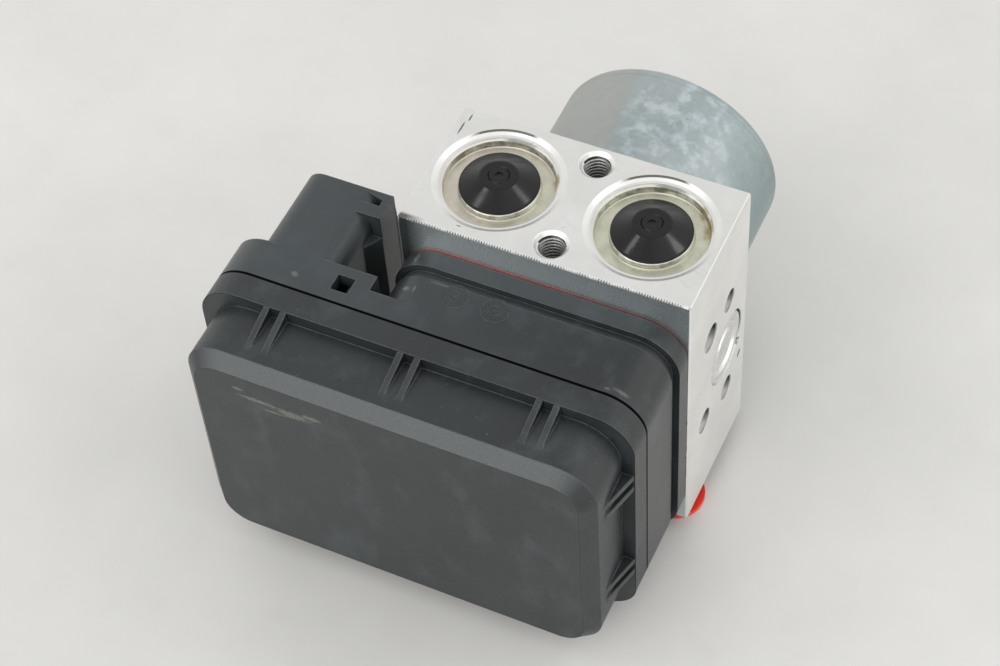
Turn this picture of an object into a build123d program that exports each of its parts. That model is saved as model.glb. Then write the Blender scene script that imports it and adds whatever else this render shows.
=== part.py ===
from build123d import *
import math
import os

# Anti-lock brake modulator: hydraulic block, pump motor and electronic controller.
# Millimetres. Origin: middle of the block's top face, between its two bracket holes.
# +Z is up, -Y is the controller's side, +Y the motor's side.

# ---------------------------------------------------------------- driving dimensions

# hydraulic block
block_width = 85.0
block_depth = 43.4
block_height = 98.3
block_edge_break = 0.5

# running and seating clearances
running_gap = 0.05
seat_gap = 0.15
free_gap = 0.3

# bracket holes in the top face (M8)
bracket_hole_r = 4.0
bracket_hole_pitch = 30.6
bracket_hole_depth = 14.0
bracket_countersink_r = 5.05

# accumulators (low-pressure reservoirs) opening at the top face
reservoir_pitch = 44.8
reservoir_offset_y = 0.35
reservoir_bore_r = 14.5
reservoir_depth = 27.0
reservoir_bevel_r = 18.6
reservoir_bevel_depth = 0.9
cover_seat_r = 16.9
cover_lip = 0.5
cover_recess = 2.1
cover_boss_r = 11.3
cover_step = 1.9
cover_flat_r = 15.6
cover_edge_drop = 1.9
cover_thickness = 1.4
cover_hole_r = 3.2
reservoir_piston_length = 9.0
reservoir_piston_skirt = 1.8
reservoir_floor_gap = 0.4
reservoir_stroke = 6.0
reservoir_seal_wire = 2.4
reservoir_spring_wire = 1.6
reservoir_spring_r = 8.4
reservoir_spring_turns = 4

# vent caps pushed through the covers
cap_rim_r = 11.2
cap_rim_height = 0.8
cap_boss_r = 5.3
cap_height = 3.9
cap_ring_r = 2.9
cap_dimple_r = 1.2
cap_stem_reach = 1.6

# pump: opposed pistons driven by an eccentric on the motor shaft
pump_offset_y = 6.5
eccentricity = 1.2
eccentric_r = 5.5
eccentric_width = 8.0
eccentric_bearing_r = 9.0
chamber_r = 14.0
chamber_depth = 22.7
pump_bore_r = 7.5
pump_piston_r = 3.25
pump_piston_length = 17.0
pump_sleeve_length = 19.6
pump_plug_r = 11.4
pump_plug_depth = 5.2
pump_plug_recess = 0.3
pump_spring_wire = 0.7

# shaft and its bearings
shaft_drop = 50.0
shaft_r = 4.0
nose_bearing_r = 7.5
nose_bearing_width = 3.6
front_bearing_r = 11.0
front_bearing_width = 5.0
rear_bearing_r = 8.0
rear_bearing_width = 5.0

# motor
motor_can_r = 34.3
motor_can_length = 45.9
motor_can_wall = 1.6
motor_can_round = 2.6
motor_boss_length = 3.4
motor_plate_thickness = 2.0
motor_lip = 2.6
motor_ear_r = 5.5
motor_screw_r = 2.5
motor_screw_reach = 9.0
motor_screw_head_r = 4.3
motor_screw_head_height = 3.0
magnet_thickness = 4.0
magnet_length = 26.0
magnet_end_gap = 7.0
magnet_arc = 72.0
air_gap = 0.5
core_length = 20.0
core_slots = 12
slot_depth = 7.0
slot_width = 4.6
winding_end_length = 4.0
commutator_r = 9.0
commutator_length = 7.0
brush_width = 6.0
brush_height = 4.0
brush_length = 10.0
brush_holder_wall = 1.2
brush_spring_length = 4.5

# motor feed through the block
feed_drop = 23.5
feed_bore_r = 3.6
feed_blade_width = 3.6
feed_blade_thickness = 0.8
feed_blade_spacing = 3.0

# solenoid valves, four columns by three rows, opening at the front face
valve_columns = 4
valve_rows = 3
valve_column_pitch = 18.6
valve_row_pitch = 19.0
valve_top_row_drop = 36.0
valve_bore_r = 5.5
valve_bore_depth = 13.0
valve_dome_r = 3.0
coil_r = 8.6
coil_length = 16.4

# ports in the bottom face, each with a dust plug
outlet_port_r = 5.0
inlet_port_r = 6.0
port_depth = 13.0
port_row_offset = 11.5
outlet_spacing = 23.2
inlet_spacing = 46.4
dust_plug_flange_r = 8.8
dust_plug_flange = 1.4
dust_plug_neck = 3.6
dust_plug_reach = 8.0
dust_plug_socket_r = 2.6

# drilled galleries in the side faces: y, drop, radius
gallery_depth = 4.6
gallery_step_depth = 2.6
gallery_plug_length = 1.8
side_galleries = ((7.5, 30.0, 3.7), (-6.4, 30.3, 4.5), (7.5, 70.2, 4.0), (-9.5, 64.9, 4.0))
pin_holes = ((15.9, 58.1), (17.3, 65.6))
pin_hole_r = 1.3
pin_hole_depth = 3.0

# controller housing
gasket_thickness = 0.7
gasket_width = 3.2
rim_inset = 0.5
rim_drop = 9.4
rim_height = 87.6
rim_depth = 5.5
rim_corner_r = 12.5
neck_step = 2.0
neck_depth = 2.6
body_step = 1.1
body_depth = 9.9
controller_drop = 10.6
controller_left = 87.3
controller_height = 87.9
controller_corner_r = 12.0
housing_flange_depth = 7.5
pad_depth = 5.0
pad_gap = 0.1
housing_wall = 2.6
tray_depth = 5.4
partition_thickness = 1.6
board_ledge = 1.8
board_thickness = 1.6
window_size = 5.2
window_x = -50.2
window_back = 3.3

# plug shroud on the housing's back, left of the block
shroud_width = 24.0
shroud_height = 73.4
shroud_left_inset = 8.8
shroud_length = 27.4
shroud_corner_r = 6.0
shroud_wall = 1.8
collar_width = 3.3
collar_length = 8.9
collar_height = 62.0
collar_web = 4.2
collar_wall = 2.3
collar_lip = 0.9
collar_lip_inner = 2.5
collar_pocket_depth = 8.0
collar_flare = 5.5
pin_r = 0.7
pin_columns = 4
pin_rows = 11
pin_pitch = 3.6
pin_row_pitch = 4.4
pin_reach = 16.0
blade_width = 5.0
blade_thickness = 1.2

# larger parts on the board
chip_size = 20.0
chip_thickness = 2.2
chip_offset_x = 6.0
chip_offset_z = 8.0
driver_width = 14.0
driver_height = 10.0
driver_offset_x = 38.0
transistor_size = 8.0
transistor_pitch = 12.0
transistor_offset_z = 14.0
capacitor_r = 6.0
capacitor_height = 12.0
capacitor_pitch = 16.0
capacitor_offset_z = 22.0

# controller cover
cover_flange_depth = 8.1
cover_ledge = 3.7
cover_ledge_below = 2.9
cover_wall = 2.2
bowl_depth = 19.4
bowl_bevel = 3.8
bowl_corner_r = 12.0
rib_thickness = 1.8
rib_pair_gap = 3.2
rib_length = 12.4
top_rib_pitch = 40.0
side_rib_pitch = 40.4

# housing screws (M4) into the block
housing_screw_r = 2.0
housing_screw_reach = 8.0
housing_screw_head_r = 3.9
housing_screw_head_height = 2.2
housing_boss_r = 4.6
upper_screw_x = 31.5
upper_screw_inset = 9.9
lower_screw_x = 23.2
lower_screw_inset = 9.2

# ---------------------------------------------------------------- places worked out from them

block_front = -block_depth / 2
block_back = block_depth / 2
block_side = block_width / 2
shaft_z = -shaft_drop
shaft_axis = Axis((0, 0, shaft_z), (0, 1, 0))
reservoir_x = reservoir_pitch / 2
cover_seat_depth = cover_recess + cover_step + cover_thickness
reservoir_axis = Axis((reservoir_x, reservoir_offset_y, 0), (0, 0, 1))
pump_axis = Axis((0, pump_offset_y, shaft_z), (1, 0, 0))

rim_back = block_front - gasket_thickness
rim_front = rim_back - rim_depth
neck_front = rim_front - neck_depth
body_front = neck_front - body_depth
housing_front = body_front - housing_flange_depth
cover_ledge_y = housing_front - cover_flange_depth
pad_back = body_front + pad_depth
tray_floor = housing_front + tray_depth
partition_back = tray_floor + partition_thickness
shroud_mouth = pad_back + shroud_length
board_back = housing_front + board_ledge + board_thickness

rim_width = block_width - 2 * rim_inset
rim_z = -rim_drop - rim_height / 2
controller_right = rim_width / 2 - body_step
controller_width = controller_left + controller_right
controller_x = (controller_right - controller_left) / 2
controller_z = -controller_drop - controller_height / 2

valve_places = [
    ((column - (valve_columns - 1) / 2) * valve_column_pitch, -valve_top_row_drop - row * valve_row_pitch)
    for row in range(valve_rows)
    for column in range(valve_columns)
]
outlet_places = [((i - 1.5) * outlet_spacing, -port_row_offset) for i in range(4)]
inlet_places = [((i - 0.5) * inlet_spacing, port_row_offset) for i in range(2)]
upper_screw_z = -controller_drop - upper_screw_inset
lower_screw_z = -controller_drop - controller_height + lower_screw_inset
housing_screw_places = [
    (side * x, z) for side in (-1, 1) for x, z in ((upper_screw_x, upper_screw_z), (lower_screw_x, lower_screw_z))
]
motor_screw_circle_r = motor_can_r + motor_screw_head_r + free_gap
motor_screw_places = [
    (motor_screw_circle_r * math.cos(math.radians(a)), shaft_z + motor_screw_circle_r * math.sin(math.radians(a)))
    for a in (30, 150, 270)
]


def upright(y):
    """The X-Z plane at a given y; extruding by a positive amount goes towards the controller's front."""
    return Plane.XZ.offset(-y)


def about_shaft(x=0.0, z=0.0):
    """A plane for turned motor parts: local x runs along +Y, local y is the radius upwards."""
    return Plane(origin=(x, 0, shaft_z + z), x_dir=(0, 1, 0), z_dir=(1, 0, 0))


def about_pump():
    """A plane for turned pump parts: local x runs along +X from the shaft, local y is the radius."""
    return Plane(origin=(0, pump_offset_y, shaft_z), x_dir=(1, 0, 0), z_dir=(0, 0, 1))


def about_reservoir(x):
    """A plane for turned accumulator parts: local x is the radius, local y the height."""
    return Plane(origin=(x, reservoir_offset_y, 0), x_dir=(1, 0, 0), z_dir=(0, -1, 0))


def left_twin(piece):
    """The same piece on the other side of the block."""
    with BuildPart() as twin:
        mirror(piece.part, about=Plane.YZ)
    return twin


nodes = {}

# ---------------------------------------------------------------- hydraulic block

plug_seat = block_side - pump_plug_depth
reservoir_section = [
    (0, 1),
    (reservoir_bevel_r, 1),
    (reservoir_bevel_r, 0),
    (cover_seat_r + 0.2, -reservoir_bevel_depth),
    (cover_seat_r - cover_lip, -reservoir_bevel_depth - 0.1),
    (cover_seat_r - cover_lip, -cover_edge_drop),
    (cover_seat_r, -cover_edge_drop),
    (cover_seat_r, -cover_seat_depth),
    (reservoir_bore_r, -cover_seat_depth),
    (reservoir_bore_r, -reservoir_depth),
    (0, -reservoir_depth),
]

with BuildPart() as hydraulic_block:
    with BuildSketch(Plane.XY):
        Rectangle(block_width, block_depth)
    extrude(amount=-block_height)
    chamfer(hydraulic_block.edges(), length=block_edge_break)
    # accumulator bores with their cover seats and the bevel left by staking
    for x in (-reservoir_x, reservoir_x):
        with BuildSketch(about_reservoir(x)):
            with BuildLine():
                Polyline(*reservoir_section, close=True)
            make_face()
        revolve(axis=Axis((x, reservoir_offset_y, 0), (0, 0, 1)), mode=Mode.SUBTRACT)
    # bracket holes
    with Locations((0, 0, 0)):
        with GridLocations(0, bracket_hole_pitch, 1, 2):
            CounterSinkHole(bracket_hole_r, bracket_countersink_r, bracket_hole_depth, 90)
    # eccentric chamber from the back, with the nose bearing's pocket at its floor
    with BuildSketch(upright(block_back)):
        with Locations((0, shaft_z)):
            Circle(chamber_r)
    extrude(amount=chamber_depth, mode=Mode.SUBTRACT)
    with BuildSketch(upright(block_back - chamber_depth)):
        with Locations((0, shaft_z)):
            Circle(nose_bearing_r + seat_gap)
    extrude(amount=nose_bearing_width + free_gap, mode=Mode.SUBTRACT)
    # pump bores, right through from side to side, with the plug seats
    with BuildSketch(Plane.YZ.offset(-block_side)):
        with Locations((pump_offset_y, shaft_z)):
            Circle(pump_bore_r + seat_gap)
    extrude(amount=block_width, mode=Mode.SUBTRACT)
    for side in (-1, 1):
        with BuildSketch(Plane.YZ.offset(side * block_side)):
            with Locations((pump_offset_y, shaft_z)):
                Circle(pump_plug_r + seat_gap)
        extrude(amount=-side * pump_plug_depth, mode=Mode.SUBTRACT)
        # galleries drilled in from the side, stepped for their plugs
        for y, drop, radius in side_galleries:
            with BuildSketch(Plane.YZ.offset(side * block_side)):
                with Locations((y, -drop)):
                    Circle(radius)
            extrude(amount=-side * gallery_step_depth, mode=Mode.SUBTRACT)
            with BuildSketch(Plane.YZ.offset(side * (block_side - gallery_step_depth))):
                with Locations((y, -drop)):
                    Circle(radius * 0.66)
            extrude(amount=-side * (gallery_depth - gallery_step_depth), mode=Mode.SUBTRACT)
        for y, drop in pin_holes:
            with BuildSketch(Plane.YZ.offset(side * block_side)):
                with Locations((y, -drop)):
                    Circle(pin_hole_r)
            extrude(amount=-side * pin_hole_depth, mode=Mode.SUBTRACT)
    # valve bores
    with BuildSketch(upright(block_front)):
        with Locations(*valve_places):
            Circle(valve_bore_r + seat_gap)
    extrude(amount=-valve_bore_depth, mode=Mode.SUBTRACT)
    # ports
    with BuildSketch(Plane.XY.offset(-block_height)):
        with Locations(*outlet_places):
            Circle(outlet_port_r)
        with Locations(*inlet_places):
            Circle(inlet_port_r)
    extrude(amount=port_depth, mode=Mode.SUBTRACT)
    # motor feed bore, from the motor to the controller
    with BuildSketch(upright(block_back)):
        with Locations((0, -feed_drop)):
            Circle(feed_bore_r)
    extrude(amount=block_depth, mode=Mode.SUBTRACT)
    # screw holes for the controller and the motor
    with BuildSketch(upright(block_front)):
        with Locations(*housing_screw_places):
            Circle(housing_screw_r)
    extrude(amount=-housing_screw_reach - free_gap, mode=Mode.SUBTRACT)
    with BuildSketch(upright(block_back)):
        with Locations(*motor_screw_places):
            Circle(motor_screw_r)
    extrude(amount=motor_screw_reach + free_gap, mode=Mode.SUBTRACT)
nodes["hydraulic_block"] = hydraulic_block

# ---------------------------------------------------------------- accumulators (right one, and its twin)

cover_top = -cover_recess
cover_under = cover_top - cover_thickness
piston_low = -reservoir_depth + reservoir_floor_gap
piston_top = piston_low + reservoir_piston_length
piston_r = reservoir_bore_r - seat_gap
seal_z = piston_low + reservoir_piston_length * 0.36
seal_half = reservoir_seal_wire / 2 + running_gap
seal_inner_r = piston_r + running_gap - reservoir_seal_wire
spring_floor = piston_top - reservoir_piston_skirt

flat_top = cover_top - cover_step
edge_top = -cover_edge_drop
with BuildPart() as accumulator_cover:
    with BuildSketch(about_reservoir(reservoir_x)):
        with BuildLine():
            Polyline(
                (cover_hole_r, cover_top),
                (cover_boss_r - 0.3, cover_top),
                (cover_boss_r, cover_top - 0.3),
                (cover_boss_r + 0.1, flat_top + 0.3),
                (cover_boss_r + 0.4, flat_top),
                (cover_flat_r - 0.3, flat_top),
                (cover_flat_r, flat_top + 0.3),
                (cover_flat_r + 0.1, edge_top),
                (cover_seat_r - seat_gap, edge_top),
                (cover_seat_r - seat_gap, -cover_seat_depth + 0.6),
                (cover_seat_r - 0.6, -cover_seat_depth),
                (cover_boss_r - cover_thickness, -cover_seat_depth),
                (cover_boss_r - cover_thickness, cover_under),
                (cover_hole_r, cover_under),
                close=True,
            )
        make_face()
    revolve(axis=reservoir_axis)
nodes["accumulator_cover_right"] = accumulator_cover

with BuildPart() as vent_cap:
    with BuildSketch(about_reservoir(reservoir_x)):
        with BuildLine():
            cap_base = cover_top
            cone_foot = cover_top + cap_rim_height
            cap_crown = cover_top + cap_height
            Polyline(
                (cap_dimple_r, cap_crown - 0.5),
                (0, cap_crown - 0.5),
                (0, cover_under - cap_stem_reach),
                (cover_hole_r - 0.4, cover_under - cap_stem_reach),
                (cover_hole_r - seat_gap, cover_under - 0.6),
                (cover_hole_r - seat_gap, cap_base),
                (cap_rim_r - 0.2, cap_base),
                (cap_rim_r, cap_base + 0.2),
                (cap_rim_r, cone_foot - 0.2),
                (cap_rim_r - 0.5, cone_foot),
            )
            ThreePointArc(
                (cap_rim_r - 0.5, cone_foot),
                ((cap_rim_r + cap_boss_r) / 2, (cone_foot + cap_crown) / 2 - 0.2),
                (cap_boss_r + 0.2, cap_crown - 0.15),
            )
            Polyline(
                (cap_boss_r + 0.2, cap_crown - 0.15),
                (cap_boss_r - 0.3, cap_crown),
                (cap_ring_r + 0.25, cap_crown),
                (cap_ring_r, cap_crown - 0.35),
                (cap_ring_r - 0.25, cap_crown),
                (cap_dimple_r, cap_crown),
                (cap_dimple_r, cap_crown - 0.5),
            )
        make_face()
    revolve(axis=reservoir_axis)
nodes["vent_cap_right"] = vent_cap

with BuildPart() as accumulator_piston:
    with BuildSketch(about_reservoir(reservoir_x)):
        with BuildLine():
            Polyline(
                (0, piston_low),
                (piston_r - 0.6, piston_low),
                (piston_r, piston_low + 0.6),
                (piston_r, seal_z - seal_half),
                (seal_inner_r - running_gap, seal_z - seal_half),
                (seal_inner_r - running_gap, seal_z + seal_half),
                (piston_r, seal_z + seal_half),
                (piston_r, piston_top),
                (piston_r - reservoir_piston_skirt, piston_top),
                (piston_r - reservoir_piston_skirt, spring_floor),
                (0, spring_floor),
                close=True,
            )
        make_face()
    revolve(axis=reservoir_axis)
nodes["accumulator_piston_right"] = accumulator_piston

with BuildPart() as accumulator_seal:
    with BuildSketch(about_reservoir(reservoir_x)):
        with Locations((seal_inner_r + reservoir_seal_wire / 2, seal_z)):
            RegularPolygon(reservoir_seal_wire / 2, 8)
    revolve(axis=reservoir_axis)
nodes["accumulator_seal_right"] = accumulator_seal

# coil from the piston's crown to the underside of the cover
spring_low = spring_floor + free_gap + reservoir_spring_wire / 2
spring_high = cover_under - free_gap - reservoir_spring_wire / 2
with BuildPart() as accumulator_spring:
    with BuildLine():
        coil = Helix(
            pitch=(spring_high - spring_low) / reservoir_spring_turns,
            height=spring_high - spring_low,
            radius=reservoir_spring_r,
            center=(reservoir_x, reservoir_offset_y, spring_low),
        )
    with BuildSketch(Plane(origin=coil @ 0, z_dir=coil % 0)):
        RegularPolygon(reservoir_spring_wire / 2, 6)
    sweep(is_frenet=True)
nodes["accumulator_spring_right"] = accumulator_spring

# ---------------------------------------------------------------- pump (right half, and its twin)

piston_start = eccentric_bearing_r + eccentricity + free_gap
piston_end = piston_start + pump_piston_length
sleeve_end = plug_seat - free_gap
sleeve_start = sleeve_end - pump_sleeve_length

with BuildPart() as pump_piston:
    with BuildSketch(about_pump()):
        with BuildLine():
            Polyline(
                (piston_start, 0),
                (piston_start, pump_piston_r - 0.5),
                (piston_start + 0.5, pump_piston_r),
                (piston_end - 4.0, pump_piston_r),
                (piston_end - 4.0, pump_piston_r - 0.6),
                (piston_end - 3.0, pump_piston_r - 0.6),
                (piston_end - 3.0, pump_piston_r),
                (piston_end, pump_piston_r),
                (piston_end, 0),
                close=True,
            )
        make_face()
    revolve(axis=pump_axis)
nodes["pump_piston_right"] = pump_piston

with BuildPart() as pump_sleeve:
    with BuildSketch(about_pump()):
        with BuildLine():
            Polyline(
                (sleeve_start, pump_piston_r + running_gap),
                (sleeve_start, pump_bore_r - 1.5),
                (sleeve_start + 1.5, pump_bore_r),
                (sleeve_end, pump_bore_r),
                (sleeve_end, pump_piston_r + running_gap),
                close=True,
            )
        make_face()
    revolve(axis=pump_axis)
nodes["pump_sleeve_right"] = pump_sleeve

spring_in = piston_end + free_gap / 2 + pump_spring_wire / 2
spring_out = plug_seat - free_gap / 2 - pump_spring_wire / 2
with BuildPart() as pump_spring:
    with BuildLine():
        coil = Helix(
            pitch=(spring_out - spring_in) / 4,
            height=spring_out - spring_in,
            radius=pump_piston_r - pump_spring_wire,
            center=(spring_in, pump_offset_y, shaft_z),
            direction=(1, 0, 0),
        )
    with BuildSketch(Plane(origin=coil @ 0, z_dir=coil % 0)):
        RegularPolygon(pump_spring_wire / 2, 6)
    sweep(is_frenet=True)
nodes["pump_spring_right"] = pump_spring

# staked plug with its two raised rings on the outer face
plug_face = block_side - pump_plug_recess
with BuildPart() as pump_plug:
    with BuildSketch(about_pump()):
        with BuildLine():
            Polyline(
                (plug_seat, 0),
                (plug_seat, pump_plug_r),
                (plug_face - 0.8, pump_plug_r),
                (plug_face, pump_plug_r - 0.8),
                (plug_face, pump_plug_r - 2.6),
                (plug_face - 0.9, pump_plug_r - 3.3),
                (plug_face - 0.9, pump_plug_r - 5.4),
                (plug_face - 0.2, pump_plug_r - 6.0),
                (plug_face - 0.2, 0),
                close=True,
            )
        make_face()
    revolve(axis=pump_axis)
nodes["pump_plug_right"] = pump_plug

for name in list(nodes):
    if name.endswith("_right"):
        nodes[name.replace("_right", "_left")] = left_twin(nodes[name])

# ---------------------------------------------------------------- small plugs in the block

with BuildPart() as gallery_plugs:
    for side in (-1, 1):
        for y, drop, radius in side_galleries:
            with BuildSketch(Plane.YZ.offset(side * (block_side - gallery_depth))):
                with Locations((y, -drop)):
                    Circle(radius * 0.66 - seat_gap)
            extrude(amount=side * gallery_plug_length)
nodes["gallery_plugs"] = gallery_plugs

with BuildPart() as port_dust_plugs:
    for places, port_r in ((outlet_places, outlet_port_r), (inlet_places, inlet_port_r)):
        with BuildSketch(Plane.XY.offset(-block_height + dust_plug_reach)):
            with Locations(*places):
                Circle(port_r - seat_gap)
        extrude(amount=-dust_plug_reach - dust_plug_neck)
        with BuildSketch(Plane.XY.offset(-block_height - dust_plug_neck)):
            with Locations(*places):
                Circle(dust_plug_flange_r)
        extrude(amount=-dust_plug_flange)
        with BuildSketch(Plane.XY.offset(-block_height - dust_plug_neck - dust_plug_flange)):
            with Locations(*places):
                Circle(dust_plug_socket_r)
        extrude(amount=dust_plug_neck + dust_plug_reach / 2, mode=Mode.SUBTRACT)
nodes["port_dust_plugs"] = port_dust_plugs

# ---------------------------------------------------------------- motor

plate_back = block_back + motor_plate_thickness
can_front = plate_back
can_back = can_front + motor_can_length
boss_back = can_back + motor_boss_length
can_inner_r = motor_can_r - motor_can_wall
boss_inner_r = rear_bearing_r + seat_gap
rear_bearing_end = boss_back - motor_can_wall - free_gap
rear_bearing_start = rear_bearing_end - rear_bearing_width
front_bearing_start = block_back - front_bearing_width / 2
nose_bearing_start = block_back - chamber_depth - nose_bearing_width

with BuildPart() as motor_can:
    with BuildSketch(about_shaft()):
        with BuildLine():
            Polyline(
                (can_front, motor_can_r - motor_can_wall),
                (can_front, motor_can_r + motor_lip),
                (can_front + motor_can_wall, motor_can_r + motor_lip),
                (can_front + motor_can_wall, motor_can_r),
                (can_back - motor_can_round, motor_can_r),
            )
            ThreePointArc(
                (can_back - motor_can_round, motor_can_r),
                (
                    can_back - motor_can_round * (1 - math.sqrt(0.5)),
                    motor_can_r - motor_can_round * (1 - math.sqrt(0.5)),
                ),
                (can_back, motor_can_r - motor_can_round),
            )
            Polyline(
                (can_back, motor_can_r - motor_can_round),
                (can_back, boss_inner_r + motor_can_wall + 1.0),
                (can_back + 1.0, boss_inner_r + motor_can_wall),
                (boss_back, boss_inner_r + motor_can_wall),
                (boss_back, 0),
                (boss_back - motor_can_wall, 0),
                (boss_back - motor_can_wall, boss_inner_r),
                (can_back - motor_can_wall, boss_inner_r),
                (can_back - motor_can_wall, can_inner_r - motor_can_round + motor_can_wall),
            )
            ThreePointArc(
                (can_back - motor_can_wall, can_inner_r - motor_can_round + motor_can_wall),
                (
                    can_back - motor_can_wall - (motor_can_round - motor_can_wall) * (1 - math.sqrt(0.5)),
                    can_inner_r - (motor_can_round - motor_can_wall) * (1 - math.sqrt(0.5)),
                ),
                (can_back - motor_can_round, can_inner_r),
            )
            Line((can_back - motor_can_round, can_inner_r), (can_front, can_inner_r))
        make_face()
    revolve(axis=shaft_axis)
    # screw ears on the lip
    with BuildSketch(upright(can_front)) as ears:
        with Locations(*motor_screw_places):
            Circle(motor_ear_r)
        with Locations((0, shaft_z)):
            Circle(can_inner_r + motor_can_wall / 2, mode=Mode.SUBTRACT)
    extrude(amount=-motor_can_wall)
    with BuildSketch(upright(can_front)):
        with Locations(*motor_screw_places):
            Circle(motor_screw_r + free_gap)
    extrude(amount=-motor_can_wall, mode=Mode.SUBTRACT)
nodes["motor_can"] = motor_can

with BuildPart() as motor_end_plate:
    with BuildSketch(upright(block_back)):
        with Locations((0, shaft_z)):
            Circle(motor_can_r + motor_lip)
        with Locations(*motor_screw_places):
            Circle(motor_ear_r)
    extrude(amount=-motor_plate_thickness)
    with BuildSketch(upright(block_back)):
        with Locations((0, shaft_z)):
            Circle(front_bearing_r + seat_gap)
        with Locations(*motor_screw_places):
            Circle(motor_screw_r + free_gap)
        with Locations((0, -feed_drop)):
            Circle(feed_bore_r)
    extrude(amount=-motor_plate_thickness, mode=Mode.SUBTRACT)
nodes["motor_end_plate"] = motor_end_plate

with BuildPart() as motor_screws:
    with BuildSketch(upright(block_back - motor_screw_reach)):
        with Locations(*motor_screw_places):
            Circle(motor_screw_r - running_gap)
    extrude(amount=-motor_screw_reach - motor_plate_thickness - motor_can_wall)
    with BuildSketch(upright(can_front + motor_can_wall)):
        with Locations(*motor_screw_places):
            Circle(motor_screw_head_r)
    extrude(amount=-motor_screw_head_height)
    with BuildSketch(upright(can_front + motor_can_wall + motor_screw_head_height)):
        with Locations(*motor_screw_places):
            RegularPolygon(motor_screw_head_r * 0.55, 6)
    extrude(amount=motor_screw_head_height * 0.6, mode=Mode.SUBTRACT)
nodes["motor_screws"] = motor_screws

# four arc magnets clipped to the can's wall
magnet_start = can_back - magnet_end_gap - magnet_length
magnet_inner_r = can_inner_r - magnet_thickness
with BuildPart() as motor_magnets:
    with BuildSketch(upright(magnet_start)):
        with Locations((0, shaft_z)):
            with BuildLine(mode=Mode.PRIVATE) as magnet_outline:
                outer = CenterArc((0, 0), can_inner_r - running_gap, -magnet_arc / 2, magnet_arc)
                inner = CenterArc((0, 0), magnet_inner_r, -magnet_arc / 2, magnet_arc)
                Line(outer @ 0, inner @ 0)
                Line(outer @ 1, inner @ 1)
            magnet_face = make_face(magnet_outline.edges(), mode=Mode.PRIVATE)
            with PolarLocations(0, 4, start_angle=45):
                add(magnet_face)
    extrude(amount=-magnet_length)
nodes["motor_magnets"] = motor_magnets

# rotor: shaft with its eccentric, laminated core, windings and commutator
core_r = magnet_inner_r - air_gap
core_start = magnet_start + (magnet_length - core_length) / 2
core_end = core_start + core_length
slot_floor_r = core_r - 1.6 - slot_depth
winding_r = core_r - 2.2

with BuildPart() as rotor_shaft:
    with BuildSketch(upright(nose_bearing_start + running_gap)):
        with Locations((0, shaft_z)):
            Circle(shaft_r)
    extrude(amount=-(rear_bearing_end - nose_bearing_start - 2 * running_gap))
    with BuildSketch(upright(pump_offset_y - eccentric_width / 2)):
        with Locations((0, shaft_z + eccentricity)):
            Circle(eccentric_r)
    extrude(amount=-eccentric_width)
nodes["rotor_shaft"] = rotor_shaft

with BuildPart() as eccentric_bearing:
    with BuildSketch(upright(pump_offset_y - eccentric_width / 2)):
        with Locations((0, shaft_z + eccentricity)):
            Circle(eccentric_bearing_r)
            Circle(eccentric_r + running_gap, mode=Mode.SUBTRACT)
    extrude(amount=-eccentric_width)
nodes["eccentric_bearing"] = eccentric_bearing

with BuildPart() as rotor_core:
    with BuildSketch(upright(core_start)):
        with Locations((0, shaft_z)):
            Circle(core_r)
            Circle(shaft_r + running_gap, mode=Mode.SUBTRACT)
            with PolarLocations(slot_floor_r + slot_depth / 2, core_slots):
                Rectangle(slot_depth, slot_width, mode=Mode.SUBTRACT)
            with PolarLocations(core_r, core_slots):
                Rectangle(4.0, slot_width * 0.4, mode=Mode.SUBTRACT)
    extrude(amount=-core_length)
nodes["rotor_core"] = rotor_core

with BuildPart() as rotor_windings:
    with BuildSketch(upright(core_start - winding_end_length)):
        with Locations((0, shaft_z)):
            with PolarLocations(slot_floor_r + slot_depth / 2, core_slots):
                Rectangle(slot_depth - 2 * seat_gap, slot_width - 2 * seat_gap)
    extrude(amount=-(core_length + 2 * winding_end_length))
    for start in (core_start - winding_end_length, core_end + seat_gap):
        with BuildSketch(upright(start)):
            with Locations((0, shaft_z)):
                Circle(winding_r)
                Circle(slot_floor_r - 1.0, mode=Mode.SUBTRACT)
        extrude(amount=-(winding_end_length - seat_gap))
nodes["rotor_windings"] = rotor_windings

commutator_start = core_start - winding_end_length - free_gap - commutator_length
with BuildPart() as commutator:
    with BuildSketch(upright(commutator_start)):
        with Locations((0, shaft_z)):
            Circle(commutator_r)
            Circle(shaft_r + running_gap, mode=Mode.SUBTRACT)
            with PolarLocations(commutator_r, core_slots):
                Rectangle(1.2, 0.6, mode=Mode.SUBTRACT)
    extrude(amount=-commutator_length)
nodes["commutator"] = commutator

for name, start, width, outer_r in (
    ("nose_bearing", nose_bearing_start, nose_bearing_width, nose_bearing_r),
    ("front_bearing", front_bearing_start, front_bearing_width, front_bearing_r),
    ("rear_bearing", rear_bearing_start, rear_bearing_width, rear_bearing_r),
):
    with BuildPart() as bearing:
        with BuildSketch(upright(start)):
            with Locations((0, shaft_z)):
                Circle(outer_r)
                Circle(shaft_r + running_gap, mode=Mode.SUBTRACT)
        extrude(amount=-width)
        chamfer(bearing.edges().filter_by(GeomType.CIRCLE).sort_by(SortBy.RADIUS)[-2:], length=0.4)
    nodes[name] = bearing

# brush holder plate with its two brush boxes, and the brushes on their springs
holder_back = commutator_start + commutator_length / 2 - brush_height / 2 - free_gap - brush_holder_wall
brush_y = holder_back + brush_holder_wall + free_gap + brush_height / 2
brush_inner = commutator_r + running_gap
box_inner = brush_inner + 2.0
box_outer = brush_inner + brush_length + brush_spring_length + brush_holder_wall + 2 * running_gap
box_width = brush_width + 2 * seat_gap
box_height = brush_height + 2 * free_gap

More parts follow.
